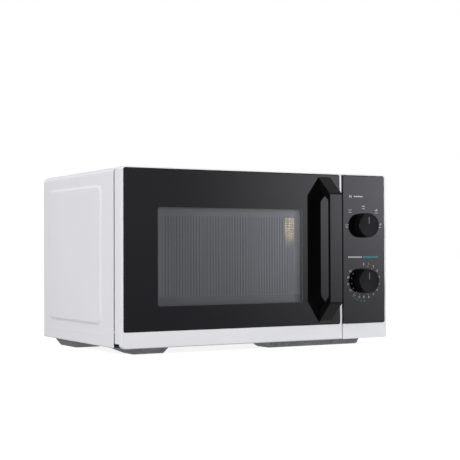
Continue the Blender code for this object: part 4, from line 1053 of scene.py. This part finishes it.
def bar(x, z, width, height, angle=0.0):
    """Rectangle centred on (x, z), turned by the angle."""
    corners = np.array(((-1, -1), (1, -1), (1, 1), (-1, 1))) * (width / 2, height / 2)
    turn = np.array(((math.cos(angle), -math.sin(angle)), (math.sin(angle), math.cos(angle))))
    return corners @ turn.T + (x, z)


def around(centre, radius, degrees):
    """A place on a dial, clockwise from straight up."""
    turn = math.radians(degrees)
    return centre[0] + radius * math.sin(turn), centre[1] + radius * math.cos(turn)


def levels_mark(x, z, count):
    """A stair of five bars, of which the first few are tall. Bar k is 1 + 0.64 k high."""
    heights = [(1.0 + 0.64 * step) * (1.0 if step < count else 0.4) for step in range(5)]
    return [bar(x - 2.4 + 1.2 * step, z - 1.6 + height / 2, 0.7, height)
            for step, height in enumerate(heights)]


def label(x, z, pitch, count, width, height):
    """A row of even bars, from x to the right."""
    return [bar(x + pitch * step, z, width, height) for step in range(count)]


# %% [markdown]
# ## Printed minutes
# Digits start as text. The text is turned into a flat mesh first, and only then are its points carried
# to their place on the glass, so the finished piece stays at the origin.

# %% Digits
def digits(text, x, z, size):
    """Text as a flat mesh: converted first, and then its points are carried on to the glass."""
    curve = bpy.data.curves.new("digits", "FONT")
    curve.body = text
    curve.size = size
    curve.align_x = "CENTER"
    curve.align_y = "CENTER"
    curve.resolution_u = 3
    writer = bpy.data.objects.new("digits", curve)
    mesh = bpy.data.meshes.new_from_object(writer)
    bpy.data.objects.remove(writer)
    points = np.empty(len(mesh.vertices) * 3)
    mesh.vertices.foreach_get("co", points)
    points = points.reshape(-1, 3)
    faces = [[int(v) for v in face.vertices] for face in mesh.polygons]
    return np.stack((points[:, 0] + x, points[:, 1] + z), axis=1), faces


def print_digits(name, words, finish):
    """All words (text, x, z, size) as one mesh on the face of the glass."""
    points, faces = [], []
    for text, x, z, size in words:
        flat, shapes = digits(text, x, z, size)
        faces += [[index + len(points) for index in shape] for shape in shapes]
        points += flat.tolist()
    mesh = bpy.data.meshes.new(name)
    mesh.from_pydata(world([(x, -PRINT_LIFT, z) for x, z in points]).tolist(), [], faces)
    return piece(mesh, "oven", "front_glass", finish=finish)


# %% [markdown]
# ## The panel's layout
# Angles are clockwise from straight up, as on the real dials, and every place is measured from the
# axis of its knob, so the print stays round the knobs if they ever move.

# %% Layout
power, timer = (((span(name)[0] + span(name)[1]) / 2)[[0, 2]] for name in ("power_knob", "timer_knob"))
STOPS = [(-90, 30.5), (-48, 33.0), (0, 27.7), (47.5, 32.2), (90, 30.5)]  # degrees, radius
MINUTES = [*range(11), 15, 20, 25, 30, 35]
MINUTE_STEP = 20
POWER_LABEL, TIMER_LABEL = 43.3, 35.4  # heights above the knobs' axes
TICK_RING, TEAL_RING = 22.6, 30.6
DIGIT_RING, DIGIT_SPREAD = 25.2, 3.8  # two-figure numbers stand at the sides, a little further out
DIGIT_SIZE = 4.6
marks = []
for count, (degrees, radius) in enumerate(STOPS, 1):
    x, z = around(power, radius, degrees)
    marks += levels_mark(x, z + 1.8, count)
    marks.append(bar(x, z - 2.6, 5.2, 0.7))
marks += [bar(power[0] - 25.6 + shift, power[1] + POWER_LABEL, 0.8, height)
          for shift, height in ((0, 4.2), (1.7, 2.8), (3.4, 4.2))]
marks += label(power[0] - 16.4, power[1] + POWER_LABEL, 3.4, 5, 2.4, 1.7)
marks += [bar(*around(timer, TICK_RING, degrees), 0.6, 1.4, -math.radians(degrees))
          for degrees in range(0, 301, MINUTE_STEP)]
marks += label(timer[0] - 27.0, timer[1] + TIMER_LABEL, 3.7, 7, 2.6, 1.9)
flat_print("white_marks", marks, "white_print")
words = []
for step, minute in enumerate(MINUTES):
    degrees = MINUTE_STEP * step
    ring = DIGIT_RING + DIGIT_SPREAD * abs(math.sin(math.radians(degrees)))
    words.append((str(minute), *around(timer, ring, degrees), DIGIT_SIZE))
print_digits("dial_digits", words, "white_print")
teal = label(timer[0] + 0.4, timer[1] + TIMER_LABEL, 3.1, 9, 2.8, 2.4)
teal += [bar(*around(timer, TEAL_RING, degrees), 2.8, 1.1, -math.radians(degrees))
         for degrees in (178, 190, 202, 212, 222)]
flat_print("teal_marks", teal, "teal_print")

# %% [markdown]
# ## Finish: printing ink
# Screen print is nearly even and matt. A fine noise between two close tones gives the slight loss of
# ink that a raised mark shows.

# %% Inks
def print_finish(name, colour, second):
    """Two close tones by a very fine noise, and an uneven matt sheen."""
    finish = Finish(name)
    vector, *_ = finish.place()
    return finish.show(finish.principled({
        "Base Color": finish.mix(finish.noise(vector, 900.0), colour, second),
        "Roughness": spread(finish.noise(vector, 400.0), 0.4, 0.6)}))


FINISHES["white_print"] = print_finish("white_print", (0.54, 0.54, 0.55), (0.66, 0.66, 0.67))
FINISHES["teal_print"] = print_finish("teal_print", (0.02, 0.17, 0.2), (0.03, 0.21, 0.24))
for slot in ("white_print", "teal_print"):
    for thing in PIECES[slot]:
        thing.data.materials.append(FINISHES[slot])
print("inks:", [slot for slot in sorted(FINISHES) if slot.endswith("_print")])

# %% [markdown]
# ## Camera
# The camera stands low and to the left, about 1.75 m away, and looks slightly up with a long lens, as
# for a catalogue picture. Its axes come from three turns: yaw, pitch and a trace of roll.

# %% Camera
YAW, PITCH, ROLL = (math.radians(angle) for angle in (29.49, 1.09, -0.193))
STAND = (-0.8502, -1.5512, 0.14)
ahead = Vector((math.sin(YAW) * math.cos(PITCH), math.cos(YAW) * math.cos(PITCH), math.sin(PITCH)))
level_right = Vector((math.cos(YAW), -math.sin(YAW), 0.0))
level_up = level_right.cross(ahead)
right = math.cos(ROLL) * level_right + math.sin(ROLL) * level_up
up = -math.sin(ROLL) * level_right + math.cos(ROLL) * level_up
lens = bpy.data.cameras.new("camera")
lens.lens = 90.1
lens.sensor_width = 36.0
lens.clip_start = 0.05
camera = bpy.data.objects.new("camera", lens)
camera.matrix_world = Matrix.Translation(STAND) @ Matrix((right, up, -ahead)).transposed().to_4x4()
bpy.context.scene.collection.objects.link(camera)
bpy.context.scene.camera = camera
bpy.context.scene.view_settings.view_transform = "Standard"
print("camera:", STAND, "lens", round(lens.lens, 1))

# %% [markdown]
# ## Floor and room
# White paint needs broad soft light, and black glass shows only what it mirrors. So the room is white
# to the camera, even for the paint and dimmer to mirrors, and the floor glows a little, which keeps it
# white under the oven's shadow.

# %% Floor and room
FLOOR_GLOW = 0.86
FLOOR_REACH = 9.0
ROOM_LIGHT = 0.45
ROOM_MIRROR = 0.25


def stage_plane(name, corners, material):
    """One rectangle in metres that belongs to the stage and not to the oven."""
    mesh = bpy.data.meshes.new(name)
    mesh.from_pydata(corners, [], [(0, 1, 2, 3)])
    mesh.materials.append(material)
    thing = bpy.data.objects.new(name, mesh)
    bpy.context.scene.collection.objects.link(thing)
    return thing


def floor_finish():
    """Matt grey that also glows: a diffuse and an emission shader, added."""
    finish = Finish("floor_white")
    matt = finish.node("ShaderNodeBsdfDiffuse", None, {"Color": (0.4, 0.4, 0.4)})
    glow = finish.node("ShaderNodeEmission", None, {"Color": (1.0, 1.0, 1.0), "Strength": FLOOR_GLOW})
    return finish.show(finish.node("ShaderNodeAddShader", None, {0: matt.outputs[0], 1: glow.outputs[0]}))


def room():
    """White for the camera, and two lower strengths: for mirrors and for all other light."""
    sky = bpy.data.worlds.new("room")
    sky.use_nodes = True
    nodes, links = sky.node_tree.nodes, sky.node_tree.links
    nodes.clear()
    output = nodes.new("ShaderNodeOutputWorld")
    path = nodes.new("ShaderNodeLightPath")
    shown = nodes.new("ShaderNodeBackground")
    shown.inputs["Strength"].default_value = ROOM_LIGHT
    for ray, strength in (("Is Glossy Ray", ROOM_MIRROR), ("Is Camera Ray", 1.0)):
        glow = nodes.new("ShaderNodeBackground")
        glow.inputs["Strength"].default_value = strength
        choice = nodes.new("ShaderNodeMixShader")
        links.new(path.outputs[ray], choice.inputs[0])
        links.new(shown.outputs[0], choice.inputs[1])
        links.new(glow.outputs[0], choice.inputs[2])
        shown = choice
    for glow in nodes:
        if glow.type == "BACKGROUND":
            glow.inputs["Color"].default_value = (1.0, 1.0, 1.0, 1.0)
    links.new(shown.outputs[0], output.inputs[0])
    bpy.context.scene.world = sky


floor = stage_plane("floor", [(-FLOOR_REACH, -FLOOR_REACH, 0), (FLOOR_REACH, -FLOOR_REACH, 0),
                              (FLOOR_REACH, FLOOR_REACH, 0), (-FLOOR_REACH, FLOOR_REACH, 0)],
                    floor_finish())
floor.visible_glossy = False
floor.visible_diffuse = False
room()

# %% [markdown]
# ## What the glass mirrors
# Two cards are seen by mirrors alone. A long one in front of the oven draws the slow change from dark
# to light across the glass. A bright strip on the left stands where the sides of the handle and of the
# knobs mirror it, as a thin line of light.

# %% Cards
CARD_Y = -2.6
CARD = (0.3, 3.0, -0.6, 1.2)  # left, right, low, high
CARD_LIGHT = (4.85, 4.85, 5.25)
STRIP_NEAR, STRIP_FAR = (-1.70, -1.69), (-1.86, -1.47)
STRIP_LOW, STRIP_HIGH = -0.35, 0.8
STRIP_LIGHT = 9.0


def card_finish():
    """Brightness over the card, from two smooth steps: a from left to right, b from bottom to top.
    It is (0.347 + 1.107 a + 2.972 a b + 0.144 b) / 5."""
    finish = Finish("card_glow")
    _, x, _, z = finish.place()
    across, upward = x.ramp(1.0, 3.0), z.ramp(-0.2, 0.45)
    rise = (across * 1.107 + across * upward * 2.972 + upward * 0.144 + 0.347) / 5.0
    glow = finish.mix(rise, (0.0, 0.0, 0.0), CARD_LIGHT)
    return finish.show(finish.node("ShaderNodeEmission", None, {"Color": glow, "Strength": 1.0}))


def strip_finish():
    """Even white glow."""
    finish = Finish("strip_glow")
    return finish.show(finish.node("ShaderNodeEmission", None,
                                   {"Color": (1.0, 1.0, 1.0), "Strength": STRIP_LIGHT}))


card = stage_plane("card", [(CARD[0], CARD_Y, CARD[2]), (CARD[1], CARD_Y, CARD[2]),
                            (CARD[1], CARD_Y, CARD[3]), (CARD[0], CARD_Y, CARD[3])], card_finish())
strip = stage_plane("strip", [(*STRIP_NEAR, STRIP_LOW), (*STRIP_FAR, STRIP_LOW),
                              (*STRIP_FAR, STRIP_HIGH), (*STRIP_NEAR, STRIP_HIGH)], strip_finish())
for mirrored in (card, strip):
    for seen in ("camera", "diffuse", "transmission", "shadow"):
        setattr(mirrored, f"visible_{seen}", False)

# %% [markdown]
# ## Lamps
# A large soft key stands on the left, where it lights the side, with two weaker lamps from the front
# and one from behind. None of them shows in the mirrors, so the glass keeps its own picture.

# %% Lamps
AIM = (0.0, 0.0, 0.1)
LAMPS = {"key": ((-2.7, -1.5, 1.6), 1.3, 74.0), "front": ((1.2, -1.2, 0.8), 1.2, 14.0),
         "fill": ((2.4, -0.8, 1.4), 1.5, 14.0), "back": ((-0.6, 2.6, 1.8), 1.6, 30.0)}


def area_light(name, place, size, power):
    """A square lamp in metres and watts that looks at the oven."""
    light = bpy.data.lights.new(name, "AREA")
    light.size = size
    light.energy = power
    thing = bpy.data.objects.new(name, light)
    bpy.context.scene.collection.objects.link(thing)
    thing.location = place
    thing.rotation_euler = (Vector(AIM) - Vector(place)).to_track_quat("-Z", "Y").to_euler()
    thing.visible_glossy = False


for name, (place, size, power) in LAMPS.items():
    area_light(name, place, size, power)
print("lamps:", sorted(LAMPS))
